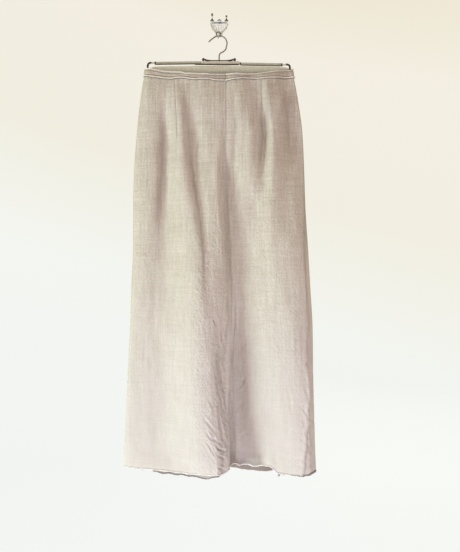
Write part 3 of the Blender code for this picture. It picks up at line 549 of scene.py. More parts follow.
BACK_CREASES = (
    (((-92, -108), (-90, -170), (-88, -235), (-87, -262)), 1.7, 0.9, 0.5, (0.01, 0.40)),
    (((90, -108), (91, -165), (92, -228), (92, -255)), 1.7, 0.9, 0.5, (0.01, 0.40)),
    (((-87, -250), (-92, -330), (-98, -430), (-97, -540)), 8.0, 1.5, 0.25, (0.30, 0.45)),
    (((92, -240), (98, -330), (96, -420), (104, -500)), 7.0, 1.7, 0.25, (0.30, 0.45)),
    (((20, -150), (16, -300), (24, -470), (18, -620)), 9.0, 1.0, 0.20, (0.40, 0.45)),
    (((-40, -280), (-48, -430), (-44, -600), (-54, -760)), 10.0, 1.3, 0.20, (0.40, 0.40)),
    (((60, -420), (70, -590), (64, -760), (72, -930)), 11.0, 1.4, 0.20, (0.40, 0.35)),
    (((-130, -520), (-126, -680), (-134, -820), (-130, -960)), 10.0, 1.3, 0.20, (0.40, 0.30)),
    (((150, -180), (154, -300), (150, -420)), 8.0, 1.0, 0.25, (0.30, 0.45)),
    (((-158, -190), (-162, -330), (-158, -450)), 8.0, 1.0, 0.25, (0.30, 0.45)),
    (((-20, -760), (-10, -880), (-16, -1020)), 8.0, 1.2, 0.25, (0.40, 0.10)),
    (((140, -700), (134, -850), (142, -1010)), 9.0, 1.1, 0.25, (0.40, 0.10)),
    (((30, -690), (42, -716)), 3.0, 0.9, 0.50, (0.30, 0.30)),
    (((22, -712), (36, -742)), 3.0, 1.0, 0.50, (0.30, 0.30)),
    (((-78, -905), (-62, -930)), 3.2, 1.1, 0.50, (0.30, 0.30)),
    (((-86, -930), (-66, -958)), 3.2, 1.2, 0.50, (0.30, 0.30)),
    (((-70, -962), (-54, -986)), 3.0, 1.0, 0.50, (0.30, 0.30)),
    (((108, -960), (122, -984)), 3.0, 1.0, 0.50, (0.30, 0.30)),
    (((-60, -104), (-59, -128)), 1.8, 0.45, 0.40, (0.05, 0.60)),
    (((-20, -104), (-21, -134)), 1.8, 0.50, 0.40, (0.05, 0.60)),
    (((36, -104), (38, -130)), 1.8, 0.45, 0.40, (0.05, 0.60)),
    (((126, -106), (127, -136)), 2.0, 0.50, 0.40, (0.05, 0.60)),
    (((-130, -106), (-131, -138)), 2.0, 0.50, 0.40, (0.05, 0.60)),
)


def crumple(x, z, seed, strength=1.0):
    """The small uneven waves that linen keeps, longer up and down than across."""
    warp_x = x + 6 * noise(x / 60, z / 90, seed + 11)
    h = 0.85 * noise(warp_x / 44, z / 150, seed)
    h += 0.42 * noise(warp_x / 19, z / 62, seed + 1)
    h += 0.20 * noise(warp_x / 9, z / 27, seed + 2)
    h += 0.13 * noise(x / 34, z / 11, seed + 3)
    h += 0.07 * noise(x / 5.5, z / 7.5, seed + 4)
    return strength * h


def front_relief(x, z):
    h = crumple(x, z, 3, 1.0)
    # small slanting wrinkles beside the long fold of the overlap
    h = h + 0.42 * noise((x + 0.55 * z) / 7.5, z / 17, 75) * ramp(-72, -50, x) * ramp(34, 14, x) * ramp(-430, -520, z) * ramp(-800, -700, z)
    # finer crumples beside the overlap's free edge, low down, and on the outer lobe's turn
    h = h + (0.55 * noise((x + 0.7 * z) / 7, z / 13, 71) + 0.30 * noise((x - 0.5 * z) / 4.5, z / 8, 72)) * ramp(-34, -12, x) * ramp(26, 20, x) * ramp(-640, -700, z)
    # beside the free edge the cloth turns away into the valley
    h = h - (1.9 * ramp(-17, -8, x) + 4.6 * ramp(-12, 27, x)) * ramp(72, 34, x) * ramp(-700, -765, z) * ramp(-985, -900, z)
    h = h + (0.40 * noise((x + 0.5 * z) / 7, z / 12, 73) + 0.25 * noise((x - 0.6 * z) / 5, z / 9, 74)) * ramp(176, 190, x) * ramp(-640, -720, z)
    for c in FRONT_CREASES:
        h = h + crease(x, z, *c)
    return h


def back_relief(x, z):
    h = crumple(x, z, 40, 1.1)
    for c in BACK_CREASES:
        h = h + crease(x, z, *c)
    return h

# ---------------------------------------------------------------- materials
def mat(name):
    m = bpy.data.materials.new(name)
    m.use_nodes = True
    return m, m.node_tree, m.node_tree.nodes["Principled BSDF"]


def add(tree, kind, op=None, **inputs):
    """A node, with its inputs set to numbers or linked to sockets. Keys are input names, or iN for input number N."""
    n = tree.nodes.new(kind)
    if op:
        n.operation = op
    for key, value in inputs.items():
        socket = n.inputs[int(key[1:])] if key[0] == "i" and key[1:].isdigit() else n.inputs[key.replace("_", " ")]
        if isinstance(value, bpy.types.NodeSocket):
            tree.links.new(value, socket)
        else:
            socket.default_value = value
    return n


def math_node(tree, op, a, b=None, c=None):
    n = tree.nodes.new("ShaderNodeMath")
    n.operation = op
    for k, value in enumerate((a, b, c)):
        if value is None:
            continue
        if isinstance(value, bpy.types.NodeSocket):
            tree.links.new(value, n.inputs[k])
        else:
            n.inputs[k].default_value = value
    return n.outputs[0]


def streaks(tree, across, z, sx, sz, detail=2.0, rough=0.6):
    """Noise drawn out along x or z: sx and sz are bumps per metre."""
    v = add(tree, "ShaderNodeCombineXYZ", i0=math_node(tree, "MULTIPLY", across, sx), i2=math_node(tree, "MULTIPLY", z, sz))
    t = add(tree, "ShaderNodeTexNoise", Vector=v.outputs[0], Scale=1.0, Detail=detail, Roughness=rough)
    return t.outputs["Fac"]


def linen(name, base, deep, weave=1.0, slub=1.0, pale=1.0, hollow=0.0, depth=()):
    """Plain-woven linen: threads both ways, uneven yarns, slubs and faint cloudiness. pale is how much the weave fades
    towards the hem, hollow how much painted shade darkens the valley beside the free edge, where the cloth is folded
    away; it also turns on painted shade in the pocket by the overlap's lower corner and at the valley's foot, and
    painted light on the outer side, depth the tone's value at (z, value) places: painted light near the top inside the
    waist, falling off to painted shade further down inside it."""
    m, tree, p = mat(name)
    coord = add(tree, "ShaderNodeTexCoord")
    xyz = add(tree, "ShaderNodeSeparateXYZ", i0=coord.outputs["Object"])
    normal = add(tree, "ShaderNodeSeparateXYZ", i0=coord.outputs["Normal"])
    side = add(tree, "ShaderNodeMapRange", i0=math_node(tree, "ABSOLUTE", normal.outputs[0]), i1=0.70, i2=0.86, i3=0.0, i4=1.0)
    across = math_node(tree, "ADD", math_node(tree, "MULTIPLY", xyz.outputs[0], math_node(tree, "SUBTRACT", 1.0, side.outputs[0])), math_node(tree, "MULTIPLY", xyz.outputs[1], side.outputs[0]))
    z = xyz.outputs[2]
    # threads, which wander a little
    wander_x = math_node(tree, "MULTIPLY", math_node(tree, "SUBTRACT", streaks(tree, across, z, 60, 14), 0.5), 0.0022)
    wander_z = math_node(tree, "MULTIPLY", math_node(tree, "SUBTRACT", streaks(tree, across, z, 14, 60), 0.5), 0.0022)
    warp = math_node(tree, "SINE", math_node(tree, "MULTIPLY", math_node(tree, "ADD", across, wander_x), 2 * math.pi / 0.00095))
    weft = math_node(tree, "SINE", math_node(tree, "MULTIPLY", math_node(tree, "ADD", z, wander_z), 2 * math.pi / 0.00095))
    threads = math_node(tree, "MULTIPLY", math_node(tree, "MULTIPLY", warp, weft), 0.5)
    up = streaks(tree, across, z, 560, 24, 3.0, 0.65)
    over = streaks(tree, across, z, 22, 600, 3.0, 0.65)
    thick_up = add(tree, "ShaderNodeMapRange", i0=streaks(tree, across, z, 330, 21, 1.0), i1=0.60, i2=0.78, i3=0.0, i4=1.0).outputs[0]
    thick_over = add(tree, "ShaderNodeMapRange", i0=streaks(tree, across, z, 19, 350, 1.0), i1=0.60, i2=0.78, i3=0.0, i4=1.0).outputs[0]
    thin_up = add(tree, "ShaderNodeMapRange", i0=streaks(tree, across, z, 340, 30, 1.0), i1=0.24, i2=0.40, i3=1.0, i4=0.0).outputs[0]
    thin_over = add(tree, "ShaderNodeMapRange", i0=streaks(tree, across, z, 26, 340, 1.0), i1=0.24, i2=0.40, i3=1.0, i4=0.0).outputs[0]
    tone = None
    for part, much in (
        (up, 0.36), (over, 0.30),
        (streaks(tree, across, z, 270, 18, 1.0), 0.56), (streaks(tree, across, z, 15, 280, 1.0), 0.38),
        (streaks(tree, across, z, 130, 9, 2.0), 0.30), (streaks(tree, across, z, 6, 150, 2.0), 0.16),
        (streaks(tree, across, z, 230, 210, 1.0), 0.50), (streaks(tree, across, z, 26, 15, 3.0), 0.20),
    ):
        here = math_node(tree, "MULTIPLY", math_node(tree, "SUBTRACT", part, 0.5), much * slub)
        tone = here if tone is None else math_node(tree, "ADD", tone, here)
    tone = math_node(tree, "ADD", tone, math_node(tree, "MULTIPLY", math_node(tree, "ADD", thick_up, thick_over), 0.10 * slub))
    tone = math_node(tree, "SUBTRACT", tone, math_node(tree, "MULTIPLY", math_node(tree, "ADD", thin_up, thin_over), 0.10 * slub))
    tone = math_node(tree, "ADD", tone, math_node(tree, "MULTIPLY", threads, 0.05 * weave))
    fade = add(tree, "ShaderNodeMapRange", i0=z, i1=-0.98, i2=-0.16, i3=1.0 - 0.74 * pale, i4=1.0).outputs[0]
    tone = math_node(tree, "MULTIPLY", tone, fade)
    if hollow:
        # painted shade: the valley beside the free edge is made darker where the cloth lies deeper towards the wall
        away = add(tree, "ShaderNodeMapRange", i0=xyz.outputs[1], i1=-0.062, i2=-0.034, i3=0.0, i4=hollow).outputs[0]
        for axis, a, c in ((0, 0.010, 0.024), (0, 0.128, 0.100), (2, -0.660, -0.860)):
            away = math_node(tree, "MULTIPLY", away, add(tree, "ShaderNodeMapRange", i0=xyz.outputs[axis], i1=a, i2=c, i3=0.0, i4=1.0).outputs[0])
        # painted shade in the pocket right of the overlap's lower corner
        corner = add(tree, "ShaderNodeMapRange", i0=xyz.outputs[0], i1=0.044, i2=0.028, i3=0.0, i4=1.8 * hollow).outputs[0]
        for axis, a, c in ((0, 0.010, 0.020), (2, -0.930, -1.015)):
            corner = math_node(tree, "MULTIPLY", corner, add(tree, "ShaderNodeMapRange", i0=xyz.outputs[axis], i1=a, i2=c, i3=0.0, i4=1.0).outputs[0])
        tone = math_node(tree, "SUBTRACT", tone, away)
    mix = add(tree, "ShaderNodeMapRange", i0=tone, i1=-0.30 - (0.6 if hollow else 0), i2=0.30, i3=-1.0 if hollow else 0.0, i4=1.0)
    blend = tree.nodes.new("ShaderNodeMix")
    blend.data_type = "RGBA"
    tree.links.new(mix.outputs[0], blend.inputs[0])
    blend.inputs[6].default_value = (*deep, 1)
    blend.inputs[7].default_value = (*base, 1)
    hue = add(tree, "ShaderNodeHueSaturation", Color=blend.outputs[2], Value=1.0)
    # painted light: warmer at the middle of the skirt, greyer towards the hem, as the light's colour changes down it
    warm = add(tree, "ShaderNodeMapRange", i0=z, i1=-0.22, i2=-0.38, i3=1.0, i4=1.10).outputs[0]
    grey = add(tree, "ShaderNodeMapRange", i0=z, i1=-0.58, i2=-0.88, i3=0.0, i4=0.16).outputs[0]
    rich = math_node(tree, "SUBTRACT", warm, grey)
    tree.links.new(rich, hue.inputs["Saturation"])
    if hollow:
        # painted shade at the valley's foot, just above the hem
        foot = add(tree, "ShaderNodeMapRange", i0=z, i1=-0.995, i2=-1.026, i3=0.0, i4=0.16).outputs[0]
        for a, c in ((0.034, 0.050), (0.108, 0.094)):
            foot = math_node(tree, "MULTIPLY", foot, add(tree, "ShaderNodeMapRange", i0=xyz.outputs[0], i1=a, i2=c, i3=0.0, i4=1.0).outputs[0])
        # painted light: the outer side, where the lobe turns back, is made a little paler and greyer
        outer = add(tree, "ShaderNodeMapRange", i0=xyz.outputs[0], i1=0.184, i2=0.203, i3=0.0, i4=1.0).outputs[0]
        outer = math_node(tree, "MULTIPLY", outer, add(tree, "ShaderNodeMapRange", i0=z, i1=-0.42, i2=-0.58, i3=0.0, i4=1.0).outputs[0])
        tree.links.new(math_node(tree, "SUBTRACT", rich, math_node(tree, "MULTIPLY", outer, 0.10)), hue.inputs["Saturation"])
        value = math_node(tree, "SUBTRACT", 1.0, math_node(tree, "ADD", corner, foot))
        tree.links.new(math_node(tree, "ADD", value, math_node(tree, "MULTIPLY", outer, 0.11)), hue.inputs["Value"])
    # painted light and shade: the value is set above one near the top inside the waist and falls off darker down inside
    # it
    if depth:
        fall = None
        for (z0, v0), (z1, v1) in zip(depth, depth[1:]):
            part = add(tree, "ShaderNodeMapRange", i0=z, i1=z0, i2=z1, i3=0.0, i4=v1 - v0).outputs[0]
            fall = math_node(tree, "ADD", depth[0][1], part) if fall is None else math_node(tree, "ADD", fall, part)
        tree.links.new(fall, hue.inputs["Value"])
    # painted shade: down in the folds, by the fold attribute, the colour is multiplied darker and a little more violet
    fold = add(tree, "ShaderNodeAttribute")
    fold.attribute_name = "fold"
    deeper = tree.nodes.new("ShaderNodeMix")
    deeper.data_type = "RGBA"
    deeper.blend_type = "MULTIPLY"
    tree.links.new(fold.outputs["Fac"], deeper.inputs[0])
    tree.links.new(hue.outputs[0], deeper.inputs[6])
    deeper.inputs[7].default_value = (0.12, 0.0, 0.0, 1)
    drift = math_node(tree, "ADD", math_node(tree, "MULTIPLY", streaks(tree, across, z, 34, 11, 2.0), 0.046), math_node(tree, "MULTIPLY", streaks(tree, across, z, 150, 90, 1.0), 0.034))
    drift = math_node(tree, "ADD", drift, math_node(tree, "MULTIPLY", math_node(tree, "SUBTRACT", rich, 0.94), 0.07))
    tree.links.new(math_node(tree, "ADD", 0.457, drift), hue.inputs["Hue"])
    tree.links.new(deeper.outputs[2], p.inputs["Base Color"])
    height = math_node(tree, "ADD", math_node(tree, "MULTIPLY", threads, 0.7), math_node(tree, "MULTIPLY", math_node(tree, "ADD", up, over), 1.3))
    height = math_node(tree, "ADD", height, math_node(tree, "MULTIPLY", math_node(tree, "ADD", thick_up, thick_over), 1.6))
    bump = add(tree, "ShaderNodeBump", Height=math_node(tree, "MULTIPLY", height, fade), Strength=0.6 * weave, Distance=0.0003)
    # small crumples, as slanting ridges where the cloth is wrinkled
    crumpled = add(tree, "ShaderNodeAttribute")
    crumpled.attribute_name = "wrinkled"
    ridges = None
    for slant, wide, tall, much in ((0.38, 100, 66, 0.85), (-0.52, 84, 60, 0.85), (0.12, 165, 110, 0.55)):
        n = streaks(tree, math_node(tree, "ADD", across, math_node(tree, "MULTIPLY", z, slant)), z, wide, tall, 2.0)
        part = math_node(tree, "MULTIPLY", math_node(tree, "ABSOLUTE", math_node(tree, "SUBTRACT", n, 0.5)), much)
        ridges = part if ridges is None else math_node(tree, "ADD", ridges, part)
    bump = add(tree, "ShaderNodeBump", Height=math_node(tree, "MULTIPLY", ridges, crumpled.outputs["Fac"]), Strength=1.0, Distance=0.0031, Normal=bump.outputs[0])
    tree.links.new(bump.outputs[0], p.inputs["Normal"])
    p.inputs["Roughness"].default_value = 0.92
    p.inputs["Specular IOR Level"].default_value = 0.12
    p.inputs["Sheen Weight"].default_value = 0.10
    p.inputs["Sheen Roughness"].default_value = 0.6
    m.diffuse_color = (*base, 1)
    return m


def yarn(name, base, deep):
    """Loose linen yarn: matt, a little uneven along its length."""
    m, tree, p = mat(name)
    coord = add(tree, "ShaderNodeTexCoord")
    t = add(tree, "ShaderNodeTexNoise", Vector=coord.outputs["Object"], Scale=420.0, Detail=2.0)
    blend = tree.nodes.new("ShaderNodeMix")
    blend.data_type = "RGBA"
    tree.links.new(add(tree, "ShaderNodeMapRange", i0=t.outputs["Fac"], i1=0.35, i2=0.65, i3=0.0, i4=1.0).outputs[0], blend.inputs[0])
    blend.inputs[6].default_value = (*deep, 1)
    blend.inputs[7].default_value = (*base, 1)
    tree.links.new(blend.outputs[2], p.inputs["Base Color"])
    p.inputs["Roughness"].default_value = 0.95
    p.inputs["Specular IOR Level"].default_value = 0.1
    p.inputs["Sheen Weight"].default_value = 0.15
    m.diffuse_color = (*base, 1)
    return m


def hard(name, base, worn, roughness, metallic=0.0, grain=(90, 900), bump_strength=0.08, coat=0.0, transmission=0.0):
    """Metal or moulded plastic with faint drawn grain, small marks and uneven gloss."""
    m, tree, p = mat(name)
    coord = add(tree, "ShaderNodeTexCoord")
    xyz = add(tree, "ShaderNodeSeparateXYZ", i0=coord.outputs["Object"])
    v = add(tree, "ShaderNodeCombineXYZ", i0=math_node(tree, "MULTIPLY", xyz.outputs[0], grain[0]), i1=math_node(tree, "MULTIPLY", xyz.outputs[1], grain[1]), i2=math_node(tree, "MULTIPLY", xyz.outputs[2], grain[1]))
    t = add(tree, "ShaderNodeTexNoise", Vector=v.outputs[0], Scale=1.0, Detail=3.0)
    marks = add(tree, "ShaderNodeTexNoise", Vector=coord.outputs["Object"], Scale=140.0, Detail=4.0)
    blend = tree.nodes.new("ShaderNodeMix")
    blend.data_type = "RGBA"
    tree.links.new(add(tree, "ShaderNodeMapRange", i0=math_node(tree, "ADD", math_node(tree, "MULTIPLY", t.outputs["Fac"], 0.5), math_node(tree, "MULTIPLY", marks.outputs["Fac"], 0.5)), i1=0.42, i2=0.62, i3=0.0, i4=1.0).outputs[0], blend.inputs[0])
    blend.inputs[6].default_value = (*base, 1)
    blend.inputs[7].default_value = (*worn, 1)
    tree.links.new(blend.outputs[2], p.inputs["Base Color"])
    tree.links.new(add(tree, "ShaderNodeMapRange", i0=marks.outputs["Fac"], i1=0.3, i2=0.7, i3=roughness * 0.85, i4=min(1.0, roughness * 1.2)).outputs[0], p.inputs["Roughness"])
    p.inputs["Metallic"].default_value = metallic
    p.inputs["Coat Weight"].default_value = coat
    p.inputs["Coat Roughness"].default_value = 0.15
    p.inputs["Transmission Weight"].default_value = transmission
    bump = add(tree, "ShaderNodeBump", Height=t.outputs["Fac"], Strength=bump_strength, Distance=0.0002)
    tree.links.new(bump.outputs[0], p.inputs["Normal"])
    m.diffuse_color = (*base, 1)
    return m


M_LINEN = linen("linen", LINEN_BASE, LINEN_DEEP)
# painted shade in the valley beside the free edge, its corner pocket and its foot, and painted light on the outer side
M_LINEN_UNDER_PAINTED_LIGHT_SHADE = linen("linen_under_painted_light_shade", LINEN_BASE, LINEN_DEEP, hollow=0.15)
M_BAND = linen("waist_strip", BAND_BASE, BAND_DEEP, 1.0, 1.1, 0.0)
# painted light: paler colours than the outside's; painted shade as the value falls off down inside the waist
M_INSIDE_PAINTED_LIGHT_SHADE = linen("linen_inside_painted_light_shade", INSIDE_PAINTED_LIGHT_BASE, INSIDE_PAINTED_LIGHT_DEEP, pale=0.0, depth=((-0.0945, 1.08), (-0.0985, 0.96), (-0.1045, 0.84), (-0.1085, 0.68), (-0.1125, 0.46)))
M_FRAY = yarn("frayed_yarn", FRAY_BASE, FRAY_DEEP)
M_SHADE = yarn("shaded_yarn", (0.36, 0.30, 0.25), (0.24, 0.19, 0.15))
# painted shade: dark yarn for the frayed corner's side turned from the light
M_CORNER_SHADE = yarn("corner_shade_yarn", (0.20, 0.16, 0.13), (0.11, 0.085, 0.07))
# painted shade: a dark copy of the linen for the back's inward faces near the hem
M_INNER_PAINTED_SHADE = linen("linen_inner_painted_shade", (0.35, 0.285, 0.23), (0.21, 0.165, 0.13))
M_SECOND = linen("linen_second", (0.60, 0.52, 0.45), (0.44, 0.37, 0.31))
M_FRAY_BAND = yarn("frayed_yarn_band", (0.97, 0.91, 0.81), (0.86, 0.78, 0.67))
M_SHADOW_YARN = yarn("under_edge_yarn", (0.42, 0.35, 0.28), (0.34, 0.28, 0.22))
# dark dart thread: partly the seam's line, partly painted shade in the dart's groove
M_DART_THREAD_SHADE = yarn("dart_thread_shade", (0.42, 0.36, 0.30), (0.34, 0.29, 0.24))
# painted shade: dark material for the bars' lower lips
M_LIP_SHADE = hard("bar_lip_shade", (0.13, 0.115, 0.085), (0.19, 0.17, 0.13), 0.5, 0.3)
M_EDGE = yarn("edge_yarn", EDGE_BASE, EDGE_DEEP)
M_STITCH = yarn("stitch_thread", (0.33, 0.28, 0.22), (0.24, 0.20, 0.155))
M_WIRE = hard("hook_wire", (0.24, 0.215, 0.165), (0.34, 0.31, 0.25), 0.42, 0.4)
M_BAR = hard("bar_steel", (0.44, 0.43, 0.39), (0.53, 0.51, 0.465), 0.42, 0.35)
M_HOUSING = hard("housing_steel", (0.64, 0.59, 0.56), (0.72, 0.67, 0.64), 0.42, 0.2)
M_BLACK = hard("black_plastic", (0.030, 0.014, 0.009), (0.054, 0.032, 0.022), 0.45, 0.0)
M_CAP = hard("cap_plastic", (0.085, 0.070, 0.052), (0.13, 0.11, 0.085), 0.5, 0.0)
M_STUB = hard("stub_steel", (0.50, 0.46, 0.42), (0.60, 0.56, 0.51), 0.40, 0.3)
M_PLASTIC = hard("pale_plastic", (0.78, 0.78, 0.745), (0.83, 0.825, 0.79), 0.30, 0.0, (300, 300), 0.02, coat=0.3)
M_KNOB = hard("knob_plastic", (0.44, 0.42, 0.36), (0.54, 0.52, 0.45), 0.30, 0.0, (300, 300), 0.02, coat=0.3)
M_RIM = hard("plate_rim", (0.48, 0.46, 0.40), (0.58, 0.56, 0.50), 0.40, 0.0)
M_PIN = hard("pin_steel", (0.15, 0.135, 0.10), (0.21, 0.19, 0.145), 0.40, 0.4)
M_SHAFT = hard("pin_shaft", (0.52, 0.49, 0.40), (0.62, 0.59, 0.50), 0.40, 0.2)


# ---------------------------------------------------------------- making pieces
def new_piece(name, verts, faces, material, replaces=(), smooth_faces=True):
    mesh = bpy.data.meshes.new(name)
    mesh.from_pydata([tuple(v) for v in verts], [], faces)
    mesh.update()
    if smooth_faces:
        mesh.shade_smooth()
    mesh.materials.append(material)
    o = bpy.data.objects.new(name, mesh)
    scene.collection.objects.link(o)
    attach(o, "root")
    if replaces:
        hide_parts(*replaces)
    return o


def shell(name, outer, inner, material, replaces):
    """A closed thin wall between two grids of points (mm)."""
    rows, cols = outer.shape[:2]
    verts = np.concatenate([outer.reshape(-1, 3), inner.reshape(-1, 3)]) * MM
    n = rows * cols
    idx = np.arange(n).reshape(rows, cols)
    a, b, c, d = idx[:-1, :-1].ravel(), idx[:-1, 1:].ravel(), idx[1:, 1:].ravel(), idx[1:, :-1].ravel()
    faces = np.concatenate([np.stack([d, c, b, a], 1), np.stack([a, b, c, d], 1) + n])
    rim = np.concatenate([idx[0, :], idx[1:, -1], idx[-1, -2::-1], idx[-2:0:-1, 0]])
    nxt = np.roll(rim, -1)
    faces = np.concatenate([faces, np.stack([rim, nxt, nxt + n, rim + n], 1)])
    o = new_piece(name, verts, faces.tolist(), material, replaces)
    bm = bmesh.new()
    bm.from_mesh(o.data)
    bmesh.ops.recalc_face_normals(bm, faces=bm.faces)
    bm.to_mesh(o.data)
    bm.free()
    o.data.shade_smooth()
    o.data.set_sharp_from_angle(angle=math.radians(60))
    return o


def threads(name, starts, ways, lengths, radius, bends, material, slot, sides=3, segments=3):
    """Many short tapering threads as one mesh. ways and bends are vectors; a thread leaves along its way and turns towards its bend."""
    starts, ways, bends = (np.asarray(a, float) for a in (starts, ways, bends))
    n = len(starts)
    lengths = np.broadcast_to(lengths, n)
    radius = np.broadcast_to(radius, n)
    ways = ways / np.linalg.norm(ways, axis=1, keepdims=True)
    ref = np.where(np.abs(ways[:, 1:2]) > 0.9, np.array([[1.0, 0, 0]]), np.array([[0, 1.0, 0]]))
    s1 = np.cross(ways, ref)
    s1 /= np.linalg.norm(s1, axis=1, keepdims=True)
    s2 = np.cross(ways, s1)
    verts, faces = [], []
    ring = [(math.cos(2 * math.pi * k / sides), math.sin(2 * math.pi * k / sides)) for k in range(sides)]
    block = np.zeros((n, segments + 1, sides, 3))
    for s in range(segments + 1):
        t = s / segments
        centre = starts + ways * (lengths * t)[:, None] + bends * (lengths * t * t)[:, None]
        r = radius * (1.0 if s < segments else 0.35)
        for k, (c, q) in enumerate(ring):
            block[:, s, k] = centre + s1 * (c * r)[:, None] + s2 * (q * r)[:, None]
    verts = block.reshape(-1, 3) * MM
    per = (segments + 1) * sides
    base = (np.arange(n) * per)[:, None]
    quads = []
    for s in range(segments):
        for k in range(sides):
            j = (k + 1) % sides
            quads.append(np.concatenate([base + s * sides + k, base + s * sides + j, base + (s + 1) * sides + j, base + (s + 1) * sides + k], 1))
    faces = np.concatenate(quads).tolist()
    for caps in (list(range(sides))[::-1], [segments * sides + k for k in range(sides)]):
        faces += (base + np.array([caps])).tolist()
    return new_piece(name, verts, faces, material)


def yarns(name, paths, radius, material, sides=4):
    """Long loose yarns as one mesh, each a closed tube along its points (mm)."""
    verts, faces = [], []
    for pts in paths:
        pts = np.asarray(pts, float)
        if len(pts) < 3:
            continue
        d = np.gradient(pts, axis=0)
        d /= np.maximum(np.linalg.norm(d, axis=1, keepdims=True), 1e-9)
        ref = np.where(np.abs(d[:, 1:2]) > 0.9, np.array([[0, 0, 1.0]]), np.array([[0, 1.0, 0]]))
        s1 = np.cross(d, ref)
        s1 /= np.linalg.norm(s1, axis=1, keepdims=True)
        s2 = np.cross(d, s1)
        first = len(verts)
        taper = np.minimum(1, np.minimum(np.arange(len(pts)) + 1, np.arange(len(pts))[::-1] + 1) / 3)
        for k in range(len(pts)):
            for q in range(sides):
                a = 2 * math.pi * q / sides
                verts.append((pts[k] + (s1[k] * math.cos(a) + s2[k] * math.sin(a)) * radius * taper[k]) * MM)
        for k in range(len(pts) - 1):
            for q in range(sides):
                j = (q + 1) % sides
                faces.append([first + k * sides + q, first + k * sides + j, first + (k + 1) * sides + j, first + (k + 1) * sides + q])
        faces.append([first + q for q in range(sides)][::-1])
        faces.append([first + (len(pts) - 1) * sides + q for q in range(sides)])
    return new_piece(name, verts, faces, material)


rng = np.random.default_rng(7)


def along(edge, spacing, jitter=0.4):
    """Places along an edge (points, mm) about spacing apart: their points and the index of each as a float."""
    run = np.concatenate([[0], np.cumsum(np.linalg.norm(np.diff(edge, axis=0), axis=1))])
    n = max(2, int(run[-1] / spacing))
    at = (np.arange(n) + 0.5 + rng.uniform(-jitter, jitter, n)) * spacing
    at = at[at < run[-1]]
    k = np.interp(at, run, np.arange(len(edge)))
    return np.stack([np.interp(k, np.arange(len(edge)), edge[:, c]) for c in range(3)], 1), k


def fray(name, edge, way, out, spacing, length, radius, material, slot, sweep=0.5, curl=0.5, density=None):
    """Loose thread ends along an edge, pointing along way, each a little different."""
    pts, k = along(edge, spacing)
    if density is not None:
        keep = rng.uniform(0, 1, len(pts)) < np.interp(k, np.arange(len(edge)), density)
        pts, k = pts[keep], k[keep]
    n = len(pts)
    tangent = np.gradient(edge, axis=0)
    tangent = np.stack([np.interp(k, np.arange(len(edge)), tangent[:, c]) for c in range(3)], 1)
    tangent /= np.linalg.norm(tangent, axis=1, keepdims=True)
    o = np.stack([np.interp(k, np.arange(len(edge)), out[:, c]) for c in range(3)], 1)
    w = np.array(way, float)[None] + tangent * rng.normal(0, sweep, (n, 1)) + o * rng.normal(0.12, 0.25, (n, 1))
    bend = tangent * rng.normal(0, curl, (n, 1)) + o * rng.normal(0.10, curl * 0.5, (n, 1))
    pts = pts - np.array(way, float)[None] * 0.6 + o * rng.uniform(-0.25, 0.25, (n, 1))
    size = length * rng.uniform(0.45, 1.25, n)
    return threads(name, pts, w, size, radius * rng.uniform(0.75, 1.2, n), bend, material, slot)


def loose_yarns(name, edge, way, out, radius, count, material, wave=0.6, reach=0.8, piece=(25, 90), gap=(2, 18), start_off=0.0):
    """Yarns that have come off the weave and lie along the edge."""
    paths = []
    run = np.concatenate([[0], np.cumsum(np.linalg.norm(np.diff(edge, axis=0), axis=1))])
    way = np.array(way, float)
    for y in range(count):
        at = rng.uniform(0, 10)
        while at < run[-1] - 8:
            end = min(at + rng.uniform(*piece), run[-1])
            s = np.arange(at, end, 2.2)
            if len(s) > 3:
                p = np.stack([np.interp(s, run, edge[:, c]) for c in range(3)], 1)
                o = np.stack([np.interp(s, run, out[:, c]) for c in range(3)], 1)
                seed = int(rng.integers(1, 9999))
                a = noise(s / 11.0, s * 0 + 0.3, seed) * wave + start_off + reach * (y + 0.3) / count
                b = noise(s / 8.0, s * 0 + 5.3, seed) * wave * 0.7 + 0.25
                lift = ramp(0.75, 1.0, (s - at) / (end - at)) * rng.uniform(0, 2.0) + ramp(0.25, 0.0, (s - at) / (end - at)) * rng.uniform(0, 1.6)
                paths.append(p + way[None] * (a + lift)[:, None] + o * b[:, None])
            at = end + rng.uniform(*gap)
    return yarns(name, paths, radius, material)

# ---------------------------------------------------------------- the three panels
DROPS = np.concatenate([np.linspace(0, 0.03, 13), np.linspace(0.03, 0.80, 201)[1:], np.linspace(0.80, 0.97, 91)[1:], np.linspace(0.97, 1, 13)[1:]])
PLACES_OVER = np.concatenate([np.linspace(0, 0.76, 81), np.linspace(0.76, 1, 61)[1:]])
PLACES_UNDER = np.concatenate([np.linspace(0, 0.33, 25), np.linspace(0.33, 1, 122)[1:]])
DROPS_BACK = np.concatenate([np.linspace(0, 0.03, 11), np.linspace(0.03, 0.97, 243)[1:], np.linspace(0.97, 1, 11)[1:]])


def hem_relief(x, z, seed):
    """The raw hem waves and curls in a little."""
    low = ramp(-975, -1036, z)
    h = (1.5 * noise(x / 42, z * 0 + 0.5, seed) + 0.8 * noise(x / 15, z * 0 + 3.5, seed + 1)) * low
    return h - (0.7 + 0.6 * noise(x / 26, z * 0 + 7.5, seed + 2)) * ramp(-1026, -1038, z)


def top_relief(x, z, seed):
    return (0.5 * noise(x / 22, z / 30, seed)) * ramp(-170, -120, z)


